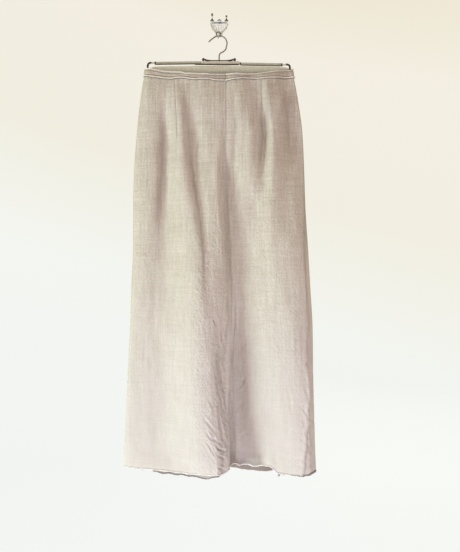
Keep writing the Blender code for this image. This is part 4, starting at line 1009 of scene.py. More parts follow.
def make_panel(name, knots_at, top, hem, columns, drops, relief, seed, replaces, cloth, free_edge=None, shades=()):
    places = np.linspace(0, 1, columns + 1) if isinstance(columns, int) else columns
    base = panel_surface(knots_at, top, hem, places, drops)
    x, z = base[..., 0], base[..., 2]
    h = relief(x, z) + hem_relief(x, z, seed) + top_relief(x, z, seed + 5)
    h = h * (1 - 0.55 * ramp(-170, -125, z))
    run = np.concatenate([np.zeros((len(drops), 1)), np.cumsum(np.linalg.norm(np.diff(base, axis=1), axis=2), axis=1)], axis=1)
    seams = [c for c in (0, -1) if abs(base[0, c, 0]) > 160]
    for c in seams:
        h = h * ramp(0.5, 14, np.abs(run - run[:, c : c + 1 or None][:, :1]))
    if free_edge is not None:
        h = h + free_edge(x, z, np.abs(run[:, -1:] - run))
    n = normals(base)
    for c in seams:
        n[:, c] = (math.copysign(1, base[0, c, 0]), 0, 0)
    outer = base + n * h[..., None]
    ragged = 0.5 * noise(x / 7, z * 0 + 2.5, seed + 8) + 0.8 * noise(x / 31, z * 0 + 4.5, seed + 9)
    outer[..., 2] += ragged * ramp(-1015, -1036, z)
    n = normals(outer)
    for c in seams:
        n[:, c] = (math.copysign(1, base[0, c, 0]), 0, 0)
    o = shell(name, outer, outer - n * CLOTH, cloth, replaces)
    # painted shade down in the folds, carried to the linen as the fold attribute; a band just above the underlap's hem,
    # in the valley, is darkened further
    shade = fold_shade(x, z, shades)
    if free_edge is not None and hem is HEM_UNDERLAP:
        shade += 0.22 * ramp(15, 4, z - smooth(*zip(*hem), np.clip(x, hem[0][0], hem[-1][0]))) * ramp(34, 44, x) * ramp(106, 92, x)
    o.data.attributes.new("fold", "FLOAT", "POINT").data.foreach_set("value", np.tile(shade.ravel(), 2).astype(np.float32))
    o.data.attributes.new("wrinkled", "FLOAT", "POINT").data.foreach_set("value", np.tile(wrinkled(x, z).ravel(), 2).astype(np.float32))
    return o, outer, n, run


def lap_rise(x, z, dist):
    """Just past the overlap's free edge the underlap stands up almost level with it, down to where the valley starts."""
    edge = smooth(HEIGHTS[::-1], [row[-1] for row in OVERLAP_X[::-1]], z[:, 0])[:, None]
    start = edge - 0.8 + 0.8 * ramp(-152, -140, z)
    return (1.9 + 0.9 * ramp(-220, -150, z)) * ramp(start, start + 2.0, x) * ramp(78, 26, x) * ramp(-820, -640, z)


def outer_fold(x, z, dist):
    """The underlap's outer lobe turns back sharply along an uneven ridge, towards the side seam."""
    at = np.interp(z, *zip(*OUTER_RIDGE))
    s = x - at + 2.0 * noise(z / 17, z * 0 + 0.5, 61) + 1.6 * noise(z / 7, z * 0 + 1.5, 62)
    form = 1.7 * np.exp(-(((s + 4.0) / 5.0) ** 2)) - 2.3 * ramp(-1.2, 3.4, s) * ramp(21, 7, s)
    return form * ramp(-690, -810, z)


def overlap_edge(x, z, dist):
    """The overlap's free edge stands a little off what it lies on, more towards the hem."""
    lift = -1.1 + 2.9 * ramp(-360, -900, z) + 1.0 * noise(z / 70, z * 0 + 1.5, 31) * ramp(-300, -600, z)
    wave = 0.5 * noise(z / 14, z * 0 + 2.5, 32) * ramp(-260, -480, z)
    return (lift + wave) * np.exp(-((dist / 6.5) ** 2)) * (0.55 + 0.45 * ramp(-136, -160, z))


overlap, overlap_out, overlap_n, overlap_run = make_panel("skirt_overlap", overlap_knots, TOP_FRONT, HEM_OVERLAP, PLACES_OVER, DROPS, front_relief, 101, ("front_overlap",), M_LINEN, overlap_edge, OVERLAP_SHADES)
underlap, underlap_out, underlap_n, underlap_run = make_panel("skirt_underlap", underlap_knots, TOP_FRONT, HEM_UNDERLAP, PLACES_UNDER, DROPS, front_relief, 101, ("front_underlap",), M_LINEN_UNDER_PAINTED_LIGHT_SHADE, lambda x, z, dist: lap_rise(x, z, dist) + outer_fold(x, z, dist), UNDERLAP_SHADES)
back, back_out, back_n, back_run = make_panel("skirt_back", back_knots, TOP_BACK, HEM_BACK, 140, DROPS_BACK, back_relief, 301, ("back",), M_LINEN, None, BACK_SHADES)


# the second layer just below the overlap's hem lies in its shade
underlap.data.materials.append(M_SECOND)
for face in underlap.data.polygons:
    if face.center.x < 0.019 and face.center.z < -1.029:
        face.material_index = 1

# painted light: the inside of the back, seen over the front's top edge, gets paler colours than the outside, falling
# off to painted shade lower inside the waist
back.data.materials.append(M_INSIDE_PAINTED_LIGHT_SHADE)
# painted shade: near the hem the back's inward faces get the dark copy of the linen
back.data.materials.append(M_INNER_PAINTED_SHADE)
for face in back.data.polygons:
    inward = face.normal.y < -0.2
    face.material_index = 1 if inward and face.center.z > -0.3 else 2 if inward and face.center.z < -0.94 else 0


# ---------------------------------------------------------------- the waistband strips
def band_profile(t, tall, x, seed):
    """How far the strip's face stands out from flat, mm: two rows of stitches pull it in and its raw edges tip out."""
    s = t * tall
    h = np.zeros_like(s)
    for at in (STITCH_TOP, tall - STITCH_LOW):
        h -= 1.15 * np.exp(-(((s - at) / 0.85) ** 2))
    middle = np.clip((s - STITCH_TOP) / np.maximum(tall - STITCH_TOP - STITCH_LOW, 1), 0, 1)
    h += 0.55 * np.sin(math.pi * middle) ** 0.7
    h += 0.35 * noise(x / 9, s / 5 + seed, seed) + 0.25 * noise(x / 23, s / 9 + seed, seed + 1)
    h += ramp(2.6, 0.0, s) * (0.55 + 0.5 * noise(x / 12, s * 0 + 1.5, seed + 2))
    h += ramp(tall - 2.8, tall, s) * (0.75 + 0.5 * noise(x / 14, s * 0 + 2.5, seed + 3))
    return h


def make_band(name, outer, n, top, low, rows, seed, replaces):
    cols = outer.shape[1]
    x_top = outer[0, :, 0]
    z_top = smooth(*zip(*top), np.clip(x_top, top[0][0], top[-1][0]))
    z_low = smooth(*zip(*low), np.clip(x_top, low[0][0], low[-1][0]))
    t = np.linspace(0, 1, rows + 1)
    z = z_top[None] + (z_low - z_top)[None] * t[:, None]
    base, way = np.zeros((rows + 1, cols, 3)), np.zeros((rows + 1, cols, 3))
    for c in range(cols):
        down = -outer[:, c, 2]
        for k in range(3):
            base[:, c, k] = np.interp(-z[:, c], down, outer[:, c, k])
            way[:, c, k] = np.interp(-z[:, c], down, n[:, c, k])
    base[..., 2] = z
    way[..., 2] *= 0.3
    way /= np.linalg.norm(way, axis=2, keepdims=True)
    tall = (z_top - z_low)[None] + 0 * z
    h = band_profile(t[:, None] + 0 * z, tall, base[..., 0], seed)
    lift = BAND_LIFT + np.maximum(h * 0.5 + 0.25, 0.05)
    inner = base + way * lift[..., None]
    face = base + way * (lift + BAND_THICK + h * 0.5)[..., None]
    o = shell(name, face, inner, M_BAND, replaces)
    return o, face, way


band_a, band_a_face, band_a_n = make_band("band_overlap", overlap_out, overlap_n, BAND_TOP, BAND_LOW, 18, 501, ("waistband_overlap",))
band_b, band_b_face, band_b_n = make_band("band_underlap", underlap_out, underlap_n, BAND_TOP, BAND_LOW, 18, 511, ("waistband_underlap",))
band_c, band_c_face, band_c_n = make_band("band_back", back_out, back_n, BAND_BACK_TOP, BAND_BACK_LOW, 16, 521, ("waistband_back",))


def stitches(name, face, n, at_mm, from_top, seed):
    """A row of machine stitches: short bars of thread that dip into the cloth at both ends. Their dark thread colour is
    partly the thread's own and partly painted shade down in the stitched groove.
    """
    tall = face[0, :, 2] - face[-1, :, 2]
    t = (at_mm / tall if from_top else 1 - at_mm / tall) * (face.shape[0] - 1)
    line = np.array([[np.interp(t[c], np.arange(face.shape[0]), face[:, c, k]) for k in range(3)] for c in range(face.shape[1])])
    out = np.array([[np.interp(t[c], np.arange(face.shape[0]), n[:, c, k]) for k in range(3)] for c in range(face.shape[1])])
    pts, k = along(line, 3.1, 0.08)
    tangent = np.gradient(line, axis=0)
    tangent = np.stack([np.interp(k, np.arange(len(line)), tangent[:, c]) for c in range(3)], 1)
    tangent /= np.linalg.norm(tangent, axis=1, keepdims=True)
    o = np.stack([np.interp(k, np.arange(len(line)), out[:, c]) for c in range(3)], 1)
    paths = []
    for p, d, w in zip(pts, tangent, o):
        paths.append([p + d * u + w * v for u, v in ((-1.25, -0.15), (-0.9, 0.12), (0.0, 0.20), (0.9, 0.12), (1.25, -0.15))])
    return yarns(name, paths, 0.30, M_STITCH, sides=4)


def dart_line(name, outer, n, places, aside, radius, material):
    """The fine line of a sewn dart, lying on the panel along (x, z) places. A dark thread here is partly the seam's own
    line and partly painted shade down in the dart's groove; a paler one is a painted highlight on the fold's lit edge.
    """
    zs = outer[:, :, 2].mean(axis=1)
    rows = [r for r in range(len(zs)) if places[-1][1] <= zs[r] <= places[0][1]]
    path = []
    for r in rows:
        x = np.interp(-zs[r], [-q[1] for q in places], [q[0] for q in places]) + aside
        p = np.array([np.interp(x, outer[r, :, 0], outer[r, :, k]) for k in range(3)])
        o = np.array([np.interp(x, outer[r, :, 0], n[r, :, k]) for k in range(3)])
        path.append(p + o * 0.05)
    return yarns(name, [path], radius, material)


dart_parts = {
    "overlap": [dart_line("dart_left", overlap_out, overlap_n, ((-103, -137), (-100, -180), (-97, -235), (-96, -280)), 0.0, 0.36, M_DART_THREAD_SHADE)],
    "underlap": [
        dart_line("dart_right", underlap_out, underlap_n, ((97, -135), (98, -170), (100.5, -215)), 0.0, 0.46, M_DART_THREAD_SHADE),
        # painted highlight: a paler thread beside the right dart, for the lit edge of its fold
        dart_line("dart_right_highlight", underlap_out, underlap_n, ((98, -150), (99, -178), (101.5, -222)), 1.5, 0.42, M_EDGE),
    ],
}

stitch_parts = []
for tag, face, n in (("overlap", band_a_face, band_a_n), ("underlap", band_b_face, band_b_n), ("back", band_c_face, band_c_n)):
    stitch_parts.append(stitches("stitches_top_" + tag, face, n, STITCH_TOP, True, 1))
    stitch_parts.append(stitches("stitches_low_" + tag, face, n, STITCH_LOW, False, 2))

# ---------------------------------------------------------------- raw edges
UP, DOWN, RIGHT = (0, 0, 1), (0, 0, -1), (1, 0, 0)


def edge_of(face, n, row):
    return face[row] - n[row] * 0.35, n[row]


def share(edge, table):
    return np.interp(edge[:, 0], *zip(*table))


def bundle(name, edge, way, out, count, radius, tall, off, material, much=None, wave=0.30):
    """The loosened yarns that lie side by side along a raw edge, in long pieces; much says how full the bundle is at each place."""
    run = np.concatenate([[0], np.cumsum(np.linalg.norm(np.diff(edge, axis=0), axis=1))])
    much = np.ones(len(edge)) if much is None else much
    way = np.array(way, float)
    paths = []
    for y in range(count):
        seat = (y + 0.5) / count
        at = rng.uniform(-6, 6)
        while at < run[-1] - 5:
            end = at + rng.uniform(26, 95)
            s = np.arange(max(at, 0), min(end, run[-1]), 1.7)
            if len(s) > 3 and rng.uniform() < np.interp(s.mean(), run, much) ** (0.4 + 1.6 * seat):
                p = np.stack([np.interp(s, run, edge[:, c]) for c in range(3)], 1)
                o = np.stack([np.interp(s, run, out[:, c]) for c in range(3)], 1)
                seed = int(rng.integers(1, 9999))
                a = (seat - 0.5) * tall + wave * noise(s / 9.0, s * 0 + 0.3, seed) + 0.22 * noise(s / 31.0, s * 0 + 1.3, 77)
                b = off + 0.45 * math.sin(math.pi * seat) + 0.22 * noise(s / 7.0, s * 0 + 5.3, seed)
                tail = np.minimum(np.clip((s - at) / 5.0, 0, 1), np.clip((end - s) / 5.0, 0, 1))
                paths.append(p + way[None] * (a + (1 - tail) * rng.uniform(-0.5, 1.0))[:, None] + o * (b * (0.5 + 0.5 * tail))[:, None])
            at = end + rng.uniform(0.5, 5.0)
    return yarns(name, paths, radius, material)


frays = {"overlap": [], "underlap": [], "back": []}
for tag, face, n, top_share, low_share in (
    ("overlap", band_a_face, band_a_n, FRAY_TOP, FRAY_LOW),
    ("underlap", band_b_face, band_b_n, FRAY_TOP, FRAY_LOW),
    ("back", band_c_face, band_c_n, FRAY_BACK, FRAY_BACK),
):
    e, o = edge_of(face, n, 0)
    frays[tag].append(fray("fray_band_top_" + tag, e, UP, o, 0.55, 1.7, 0.17, M_FRAY_BAND, "waist_strip", density=share(e, top_share)))
    frays[tag].append(bundle("yarn_band_top_" + tag, e, UP, o, 5, 0.34, 1.9, 0.6, M_FRAY_BAND, share(e, top_share) ** 1.6))
    e, o = edge_of(face, n, -1)
    frays[tag].append(fray("fray_band_low_" + tag, e, DOWN, o, 0.45, 1.9, 0.18, M_FRAY_BAND, "waist_strip", density=share(e, low_share)))
    frays[tag].append(bundle("yarn_band_low_" + tag, e, DOWN, o, 8, 0.40, 2.5, 1.1, M_FRAY_BAND, share(e, low_share)))
    if tag != "back":
        frays[tag].append(bundle("yarn_band_shade_" + tag, e + np.array([0, 0, -2.5]), DOWN, o, 3, 0.36, 1.5, -0.5, M_SHADOW_YARN, share(e, low_share), wave=0.25))

hems = {}
for tag, outer, n in (("overlap", overlap_out, overlap_n), ("underlap", underlap_out, underlap_n), ("back", back_out, back_n)):
    e, o = edge_of(outer, n, -1)
    if tag == "underlap":
        e, o = e[e[:, 0] > 20], o[e[:, 0] > 20]
    hems[tag] = [
        fray("fray_hem_" + tag, e, DOWN, o, 0.50, 2.1, 0.18, M_FRAY, "linen", sweep=0.55, curl=0.6),
        loose_yarns("yarn_hem_" + tag, e, DOWN, o, 0.28, 3, M_FRAY, reach=1.5, wave=0.8),
        bundle("bundle_hem_" + tag, e, DOWN, o, 6, 0.42, 2.4, 0.9, M_FRAY, share(e, FRAY_HEM), wave=0.6),
    ]
# the second layer's raw edge, in shade behind the first, as dark yarns (painted shade), and darker yarns along the
# frayed corner at the right, painted shade on its side turned from the light
e, o = edge_of(underlap_out, underlap_n, -1)
e = e + np.array([0, 0, -0.9])
hems["underlap"].append(bundle("bundle_shade", e, DOWN, o, 6, 0.44, 2.6, 0.3, M_SHADE, np.interp(e[:, 0], *zip(*SHADE_HEM)), wave=0.7))
hems["underlap"].append(bundle("bundle_corner_shade", e + np.array([0, 0, 1.5]), DOWN, o, 7, 0.46, 3.2, 0.7, M_CORNER_SHADE, np.interp(e[:, 0], (188, 194, 226), (0, 1, 1)), wave=0.7))
e, o = edge_of(back_out, back_n, -1)
hems["back"].append(bundle("bundle_back", e, DOWN, o, 3, 0.30, 1.5, 0.1, M_SHADE, np.interp(e[:, 0], (20, 30, 80, 95), (0, 0.6, 0.6, 0)), wave=0.7))
e = overlap_out[6:, -1] - overlap_n[6:, -1] * 0.35
hems["overlap"].append(fray("fray_free_edge", e, RIGHT, overlap_n[6:, -1], 0.9, 1.2, 0.16, M_EDGE, "linen", sweep=0.5, curl=0.4))
hems["overlap"].append(loose_yarns("yarn_free_edge", e, RIGHT, overlap_n[6:, -1], 0.22, 1, M_EDGE, reach=0.4, wave=0.35))
hems["overlap"].append(bundle("bundle_free_edge", e + np.array([0.9, 0, 0]), RIGHT, overlap_n[6:, -1], 5, 0.36, 1.4, -0.1, M_EDGE, np.interp(e[:, 2], (-420, -350, -100), (0, 1, 1)), wave=0.2))

# a few long ends that hang from the hem
ends = []
for x0, length, lean in ((135.2, 10.0, 0.10), (136.0, 9.0, 0.04), (136.8, 9.5, -0.04), (137.6, 8.5, 0.0), (138.4, 9.0, -0.08), (139.0, 7.5, -0.1), (146, 6.0, 0.05), (-58, 6.0, -0.3), (-30, 7.0, 0.35), (60, 6.0, -0.2), (-176, 5.0, 0.2)):
    source = underlap_out if x0 > 24 else overlap_out
    c = int(np.argmin(np.abs(source[-1, :, 0] - x0)))
    p = source[-1, c] + np.array([0, 0.35, 0.8])
    s = np.linspace(0, 1, 9)
    ends.append(np.stack([p[0] + lean * length * s**1.5 + 0.8 * np.sin(5 * s), p[1] - 0.6 * s + 0.5 * np.sin(4 * s), p[2] - length * s], 1))
hems["underlap"].append(yarns("long_ends", ends, 0.5, M_STITCH))

# ---------------------------------------------------------------- the hanger
HOOK_CENTRE, HOOK_RADIUS, HOOK_D = (0.6, -45.5), 18.5, 24.0
BAR_D = 29.0


def round_path(points, sub):
    p = [Vector(q) for q in points]
    out = []
    for i in range(len(p) - 1):
        p0, p1, p2, p3 = p[max(i - 1, 0)], p[i], p[i + 1], p[min(i + 2, len(p) - 1)]
        for s in range(sub):
            t = s / sub
            out.append(0.5 * ((2 * p1) + (p2 - p0) * t + (2 * p0 - 5 * p1 + 4 * p2 - p3) * t * t + (3 * p1 - p0 - 3 * p2 + p3) * t**3))
    return out + [p[-1]]


def tube(name, points, radii, sides, material, replaces=()):
    """A closed round tube along points (x, d, z in mm), with rounded ends."""
    pts = [Vector((q[0], -q[1], q[2])) for q in points]
    radii = list(radii) if hasattr(radii, "__len__") else [radii] * len(pts)
    for end in (0, -1):
        nb = 1 if end == 0 else -2
        d = (pts[end] - pts[nb]).normalized()
        r, tip = radii[end], pts[end].copy()
        if r > 0.3:
            caps = [(tip + d * r * math.sin(a) - d * r * 0.6, r * math.cos(a)) for a in (math.radians(t) for t in (0, 30, 55, 78))]
            if end == 0:
                pts, radii = [c[0] for c in caps[::-1]] + pts[1:], [c[1] for c in caps[::-1]] + radii[1:]
            else:
                pts, radii = pts[:-1] + [c[0] for c in caps], radii[:-1] + [c[1] for c in caps]
    verts, faces, up = [], [], Vector((0, 1, 0))
    for i, p in enumerate(pts):
        d = (pts[min(i + 1, len(pts) - 1)] - pts[max(i - 1, 0)]).normalized()
        if abs(d.dot(up)) > 0.98:
            up = Vector((1, 0, 0))
        side = d.cross(up).normalized()
        up = side.cross(d).normalized()
        verts += [(p + (side * math.cos(a) + up * math.sin(a)) * radii[i]) * MM for a in (2 * math.pi * k / sides for k in range(sides))]
    for i in range(len(pts) - 1):
        for k in range(sides):
            j = (k + 1) % sides
            faces.append((i * sides + k, i * sides + j, (i + 1) * sides + j, (i + 1) * sides + k))
    faces.append(tuple(range(sides))[::-1])
    faces.append(tuple((len(pts) - 1) * sides + k for k in range(sides)))
    return new_piece(name, verts, faces, material, replaces)


def rolled_bar(name, x, d, z, slope, material, replaces, corner=0.9, recess=0.45, lip=1.0, lip_shade_material=None):
    """A rolled steel channel from x[0] to x[1]: rounded corners and a shallow hollow along its face. slope is its rise from x[0] to x[1]."""
    d0, d1, z0, z1 = d[0], d[1], z[0], z[1]
    prof = []
    for cx, cz, a0 in ((d1 - corner, z1 - corner, 90), (d0 + corner, z1 - corner, 180), (d0 + corner, z0 + corner, 270), (d1 - corner, z0 + corner, 360)):
        arc = [(cx + corner * math.cos(math.radians(a)), cz + corner * math.sin(math.radians(a))) for a in np.linspace(a0 - 90, a0, 5)]
        prof += arc
    # the face (largest d) gets its hollow between the last corner and the first
    prof += [(d1, z0 + lip), (d1 - recess * 0.7, z0 + lip + 0.25), (d1 - recess, z0 + lip + 0.6), (d1 - recess, z1 - lip - 0.6), (d1 - recess * 0.7, z1 - lip - 0.25), (d1, z1 - lip)]
    mid = ((d0 + d1) / 2, (z0 + z1) / 2)
    verts, faces, n = [], [], len(prof)
    stops = [(0.0, 0.80), (0.35, 0.93), (0.9, 1.0)]
    length = x[1] - x[0]
    cuts = [(s, f) for s, f in stops] + [(length * t, 1.0) for t in (0.25, 0.5, 0.75)] + [(length - s, f) for s, f in stops[::-1]]
    for s, f in cuts:
        for q in prof:
            verts.append(Vector((x[0] + s, -(mid[0] + (q[0] - mid[0]) * f), mid[1] + (q[1] - mid[1]) * f + slope * s / length)) * MM)
    for i in range(len(cuts) - 1):
        for k in range(n):
            j = (k + 1) % n
            faces.append((i * n + k, i * n + j, (i + 1) * n + j, (i + 1) * n + k))
    faces.append(tuple(range(n))[::-1])
    faces.append(tuple((len(cuts) - 1) * n + k for k in range(n)))
    o = new_piece(name, verts, faces, material, replaces)
    bm = bmesh.new()
    bm.from_mesh(o.data)
    bmesh.ops.recalc_face_normals(bm, faces=bm.faces)
    bm.to_mesh(o.data)
    bm.free()
    o.data.shade_smooth()
    o.data.set_sharp_from_angle(angle=math.radians(38))
    if lip_shade_material:
        # painted shade: the rolled lower lip is given a darker material, for the shade on the bar's underside
        o.data.materials.append(lip_shade_material)
        for p in o.data.polygons:
            rise = p.center.z / MM - slope * (p.center.x / MM - x[0]) / length
            if rise < z0 + lip + 0.7:
                p.material_index = 1
    return o


bend = [(HOOK_CENTRE[0] + HOOK_RADIUS * math.cos(math.radians(t)), HOOK_D, HOOK_CENTRE[1] + 0.3 + HOOK_RADIUS * math.sin(math.radians(t))) for t in range(132, -28, -12)]
route = [(-23.8, HOOK_D, -41.5), (-21.2, HOOK_D, -39.0), (-18.6, HOOK_D, -36.6)] + bend
route += [(16.0, 25.5, -59.5), (10.5, 27.0, -65.6), (4.2, 28.4, -69.6), (1.2, 28.8, -74.0), (0.8, 28.8, -80.0), (0.8, 28.8, -89.0)]
tube("hook_wire", round_path(route, 5), 1.55, 18, M_WIRE, ("hanger_hook",))

rolled_bar("bar_housing", (-40.5, 48.3), (26.6, 31.4), (-95.2, -89.4), 0.0, M_HOUSING, ("hanger_housing",), 0.8, 0.5, 0.9)
rolled_bar("bar_left", (-146.8, -40.8), (27.5, 30.5), (-97.2, -90.6), 1.5, M_BAR, ("hanger_arm_left",), 0.9, 0.4, 1.1, M_LIP_SHADE)
rolled_bar("bar_right", (52.0, 145.2), (27.5, 30.5), (-98.8, -92.0), -1.8, M_BAR, ("hanger_arm_right",), 0.9, 0.4, 1.1, M_LIP_SHADE)

top = -88.4
wire = round_path([(-33.0, 32.0, top + 2.1), (-31.0, 32.0, top + 1.6), (-27.7, 32.0, top + 0.2), (-22.0, 32.0, top), (0.0, 32.0, top), (22.0, 32.0, top), (27.3, 32.0, top + 0.2), (31.4, 32.0, top + 1.5), (34.0, 32.0, top + 2.0)], 4)
radii = [2.0 if abs(p.x) > 26 else 1.1 + 0.9 * max(0.0, min(1.0, (abs(p.x) - 19) / 7)) for p in wire]
for end, sign in ((0, -1), (-1, 1)):
    tip, ball = wire[end], 3.4
    angles = [math.radians(t) for t in (24, 40, 58, 78, 98, 120, 142, 162)]
    grow = [Vector((tip.x + sign * (ball * (1 - math.cos(a)) - 0.3), tip.y, tip.z + 0.12 * (1 - math.cos(a)))) for a in angles]
    sizes = [ball * math.sin(a) for a in angles]
    if end == 0:
        wire, radii = grow[::-1] + wire[1:], sizes[::-1] + radii[1:]
    else:
        wire, radii = wire[:-1] + grow, radii[:-1] + sizes
radii[0] = radii[-1] = 0.29
tube("release_wire", wire, radii, 14, M_BLACK, ("hanger_release_wire",))
tube("under_wire", [(-55.7, 31.8, -97.3), (-40.0, 31.8, -97.6), (0.0, 31.8, -97.9), (47.0, 31.8, -98.2)], 1.2, 12, M_BLACK, ("hanger_under_wire",))

# ---------------------------------------------------------------- the wall hook
PLATE = ((-20.6, 22.6, 15.4), (-21.0, 23.0, 12.5), (-19.9, 21.4, 8.0), (-17.0, 19.0, 0.5), (-13.4, 14.0, -4.5), (-10.4, 10.8, -8.0), (-8.0, 8.6, -11.0), (-6.8, 7.0, -16.0), (-4.6, 4.2, -20.0))


def wall_plate():
    corners = [(a, z) for a, _, z in PLATE] + [(b, z) for _, b, z in PLATE[::-1]] + [(9.0, 15.4), (-8.0, 15.4)]
    loop = []
    n = len(corners)
    for i in range(n):
        p0, p1, p2, p3 = (Vector(corners[(i + k) % n]) for k in (-1, 0, 1, 2))
        steps = 6
        for s in range(steps):
            t = s / steps
            c = 0.5 * ((2 * p1) + (p2 - p0) * t + (2 * p0 - 5 * p1 + 4 * p2 - p3) * t * t + (3 * p1 - p0 - 3 * p2 + p3) * t**3)
            loop.append(c.lerp(p1.lerp(p2, t), 0.35))
    m = len(loop)
    out = []
    for i in range(m):
        d = (loop[(i + 1) % m] - loop[i - 1]).normalized()
        out.append(Vector((-d.y, d.x)))
    area = sum(loop[i].x * loop[(i + 1) % m].y - loop[(i + 1) % m].x * loop[i].y for i in range(m))
    sign = 1 if area > 0 else -1
    levels = ((0.4, 0.0), (0.0, 0.6), (0.0, 6.2), (0.3, 6.9), (0.9, 7.3), (1.4, 7.3), (1.8, 6.9), (2.1, 6.0), (2.6, 5.6), (4.4, 5.9))
    verts, faces = [], []
    for inset, d in levels:
        for p, o in zip(loop, out):
            q = p + o * inset * sign
            verts.append(Vector((q.x, -d, q.y)) * MM)
    for level in range(len(levels) - 1):
        for k in range(m):
            j = (k + 1) % m
            faces.append((level * m + k, level * m + j, (level + 1) * m + j, (level + 1) * m + k))
    faces.append(tuple(range(m))[::-1])
    faces.append(tuple((len(levels) - 1) * m + k for k in range(m)))
    # ribs on the face
    for x0, x1, z0, z1 in ((-13.2, -12.5, -1.0, 9.5), (-7.9, -7.1, -6.5, 5.0), (8.2, 9.0, -6.0, 5.0), (13.9, 14.6, -1.0, 9.5), (-5.4, 6.2, 4.4, 5.2), (-3.2, -2.6, -12.0, 4.0), (3.4, 4.0, -12.0, 4.0)):
        first = len(verts)
        for d in (5.2, 6.4, 6.7):
            g = 0.0 if d < 6.5 else 0.25
            verts += [Vector((a, -d, b)) * MM for a, b in ((x0 + g, z0 + g), (x1 - g, z0 + g), (x1 - g, z1 - g), (x0 + g, z1 - g))]
        for level in range(2):
            for k in range(4):
                j = (k + 1) % 4
                faces.append((first + level * 4 + k, first + level * 4 + j, first + level * 4 + 4 + j, first + level * 4 + 4 + k))
        faces.append((first + 3, first + 2, first + 1, first))
        faces.append((first + 8, first + 9, first + 10, first + 11))
    o = new_piece("hook_plate", verts, faces, M_PLASTIC, ("wall_hook_plate",))
    bm = bmesh.new()
    bm.from_mesh(o.data)
    bmesh.ops.triangulate(bm, faces=[f for f in bm.faces if len(f.verts) > 4])
    bmesh.ops.recalc_face_normals(bm, faces=bm.faces)
    bm.to_mesh(o.data)
    bm.free()
    o.data.shade_smooth()
    o.data.set_sharp_from_angle(angle=math.radians(35))
    # painted shade: the moulded rim is given a darker material than the clear face, for the shaded outline round the
    # plate
    o.data.materials.append(M_RIM)
    first = {tuple(sorted((level * m + k, level * m + (k + 1) % m, (level + 1) * m + (k + 1) % m, (level + 1) * m + k))) for level in range(1, 8) for k in range(m)}
    for p in o.data.polygons:
        if tuple(sorted(p.vertices)) in first and p.center.z < 11 * MM:
            p.material_index = 1
    return o


wall_plate()

PX = -0.6
prong = [Vector((PX, 7.8, -16.0))] + round_path([(PX, 9.1, -16.0), (PX, 11.3, -18.2), (PX, 14.2, -25.8), (PX, 19.0, -30.0), (PX, 24.0, -31.0), (PX, 28.6, -30.6), (PX, 31.0, -30.0)], 5)
sizes = [2.2] * len(prong)
KNOB = (36.6, -29.4)
for t in (20, 32, 46, 60, 75, 90, 105, 118, 130):
    a = math.radians(t)
    prong.append(Vector((PX, KNOB[0] - 5.4 * math.cos(a), KNOB[1])))
    sizes.append(5.4 * math.sin(a))
tube("hook_prong", prong, sizes, 28, M_KNOB, ("wall_hook_prong",))
ring = [(PX + 5.2 * math.cos(t), KNOB[0] + 1.2, KNOB[1] + 5.2 * math.sin(t)) for t in np.linspace(0, 2 * math.pi, 41)[:-1]]
hoop = np.array([[p[0], -p[1], p[2]] for p in ring + ring[:2]])
yarns("hook_knob_rim", [hoop], 1.15, M_PIN, sides=10)
tube("hook_knob_pip", [(PX, 39.6, KNOB[1]), (PX, 40.6, KNOB[1]), (PX, 41.2, KNOB[1])], [0.9, 0.9, 0.7], 12, M_RIM)

# the dome on the plate's top edge and the dark line where it sits
def spin_up(name, x, d, z, profile, material, replaces=(), sides=24):
    """A piece turned about an upright axis at x, d: profile is (height above z, radius)."""
    return tube(name, [(x, d, z + h) for h, _ in profile], [max(r, 0.25) for _, r in profile], sides, material, replaces)


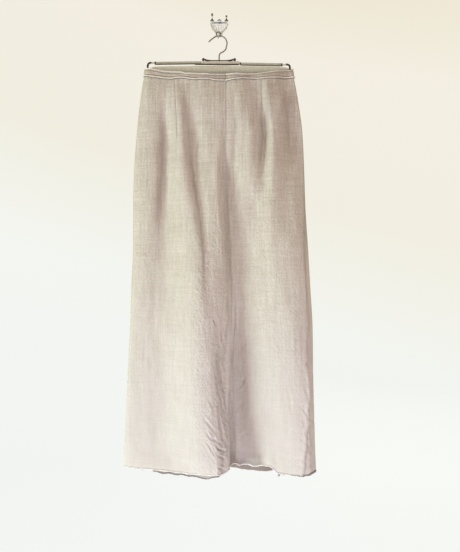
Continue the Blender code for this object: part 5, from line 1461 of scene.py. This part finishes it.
spin_up("hook_boss", 0.6, 5.0, 15.7, ((0.0, 4.5), (0.7, 4.7), (1.6, 4.65), (2.7, 4.35), (3.7, 3.8), (4.6, 3.0), (5.3, 2.1), (5.8, 1.1), (6.0, 0.28)), M_PLASTIC, ("wall_hook_boss",))
tube("hook_boss_line", [(-4.2, 9.0, 16.1), (-2.4, 9.9, 16.1), (0.6, 10.2, 16.1), (3.6, 9.9, 16.1), (5.4, 9.0, 16.1)], [0.5, 0.75, 0.8, 0.75, 0.5], 10, M_PIN)
for side_name, x, head, half in (("left", -16.4, 32.2, 3.4), ("right", 17.6, 28.0, 2.6)):
    foot = 15.4 + 0.3
    spin_up("hook_collar_" + side_name, x, 5.0, foot, ((0.0, 4.2), (0.5, 4.4), (1.8, 4.1), (3.2, 3.4), (4.6, 2.6), (5.8, 2.0), (6.6, 1.5), (7.0, 1.2)), M_PIN, ("wall_hook_collar_" + side_name,))
    spin_up("hook_shaft_" + side_name, x, 5.0, foot + 7.2, ((0.0, 0.9), (1.0, 0.9), (head - half - foot - 7.2, 0.9)), M_SHAFT, ("wall_hook_pin_" + side_name,), 14)
    spin_up("hook_pinhead_" + side_name, x, 5.0, head - half + 0.1, ((0.0, 1.0), (0.4, 1.7), (1.0, 2.2), (half * 0.9, 2.45), (half * 1.3, 2.35), (half * 1.6, 1.9), (half * 1.85, 1.2), (half * 1.95, 0.4)), M_PIN, (), 18)

for node, material in (
    ("hanger_clip", M_BLACK), ("hanger_cap_left", M_CAP), ("hanger_cap_right", M_CAP),
    ("hanger_stub_left", M_STUB), ("hanger_stub_right", M_STUB), ("hanger_tip_left", M_BLACK), ("hanger_tip_right", M_BLACK),
    ("wall_hook_nail", M_BLACK),
):
    o = frame["nodes"][node]
    if not o.data.materials:
        o.data.materials.append(material)
    for s in o.material_slots:
        s.link = "OBJECT"
        s.material = material
    bevel = o.modifiers.new("soft_edges", "BEVEL")
    bevel.width = 0.00025
    bevel.segments = 2
    bevel.limit_method = "ANGLE"
    bevel.angle_limit = math.radians(35)

# The light from the front above falls on the hanger, the wall hook and the inside of the back only.
lit = bpy.data.collections.new("lit_from_above")
for o in scene.objects:
    if o.type == "MESH" and (o.name.startswith(("bar_", "hook_", "release_", "under_wire", "hanger_", "wall_hook", "skirt_back", "band_back")) or o.name.endswith("_back")):
        lit.objects.link(o)
top_fill.light_linking.receiver_collection = lit

# The light from below falls on the cloth only, so the hanger's undersides stay dark.
soft = bpy.data.collections.new("lit_from_below")
for o in scene.objects:
    if o.type == "MESH" and (o.name.startswith(("skirt_", "band_", "stitches_", "fray_", "yarn_", "bundle_", "long_", "dart_", "wall_hook", "hook_", "stage")) and o.name != "hook_wire"):
        soft.objects.link(o)
low_fill.light_linking.receiver_collection = soft

# ---------------------------------------------------------------- what each sheet was cut as
for tag, run in (("overlap", overlap_run), ("underlap", underlap_run), ("back", back_run)):
    print("width at waist %.0f, at hem %.0f mm: %s" % (run[0, -1], run[-1, -1], tag))
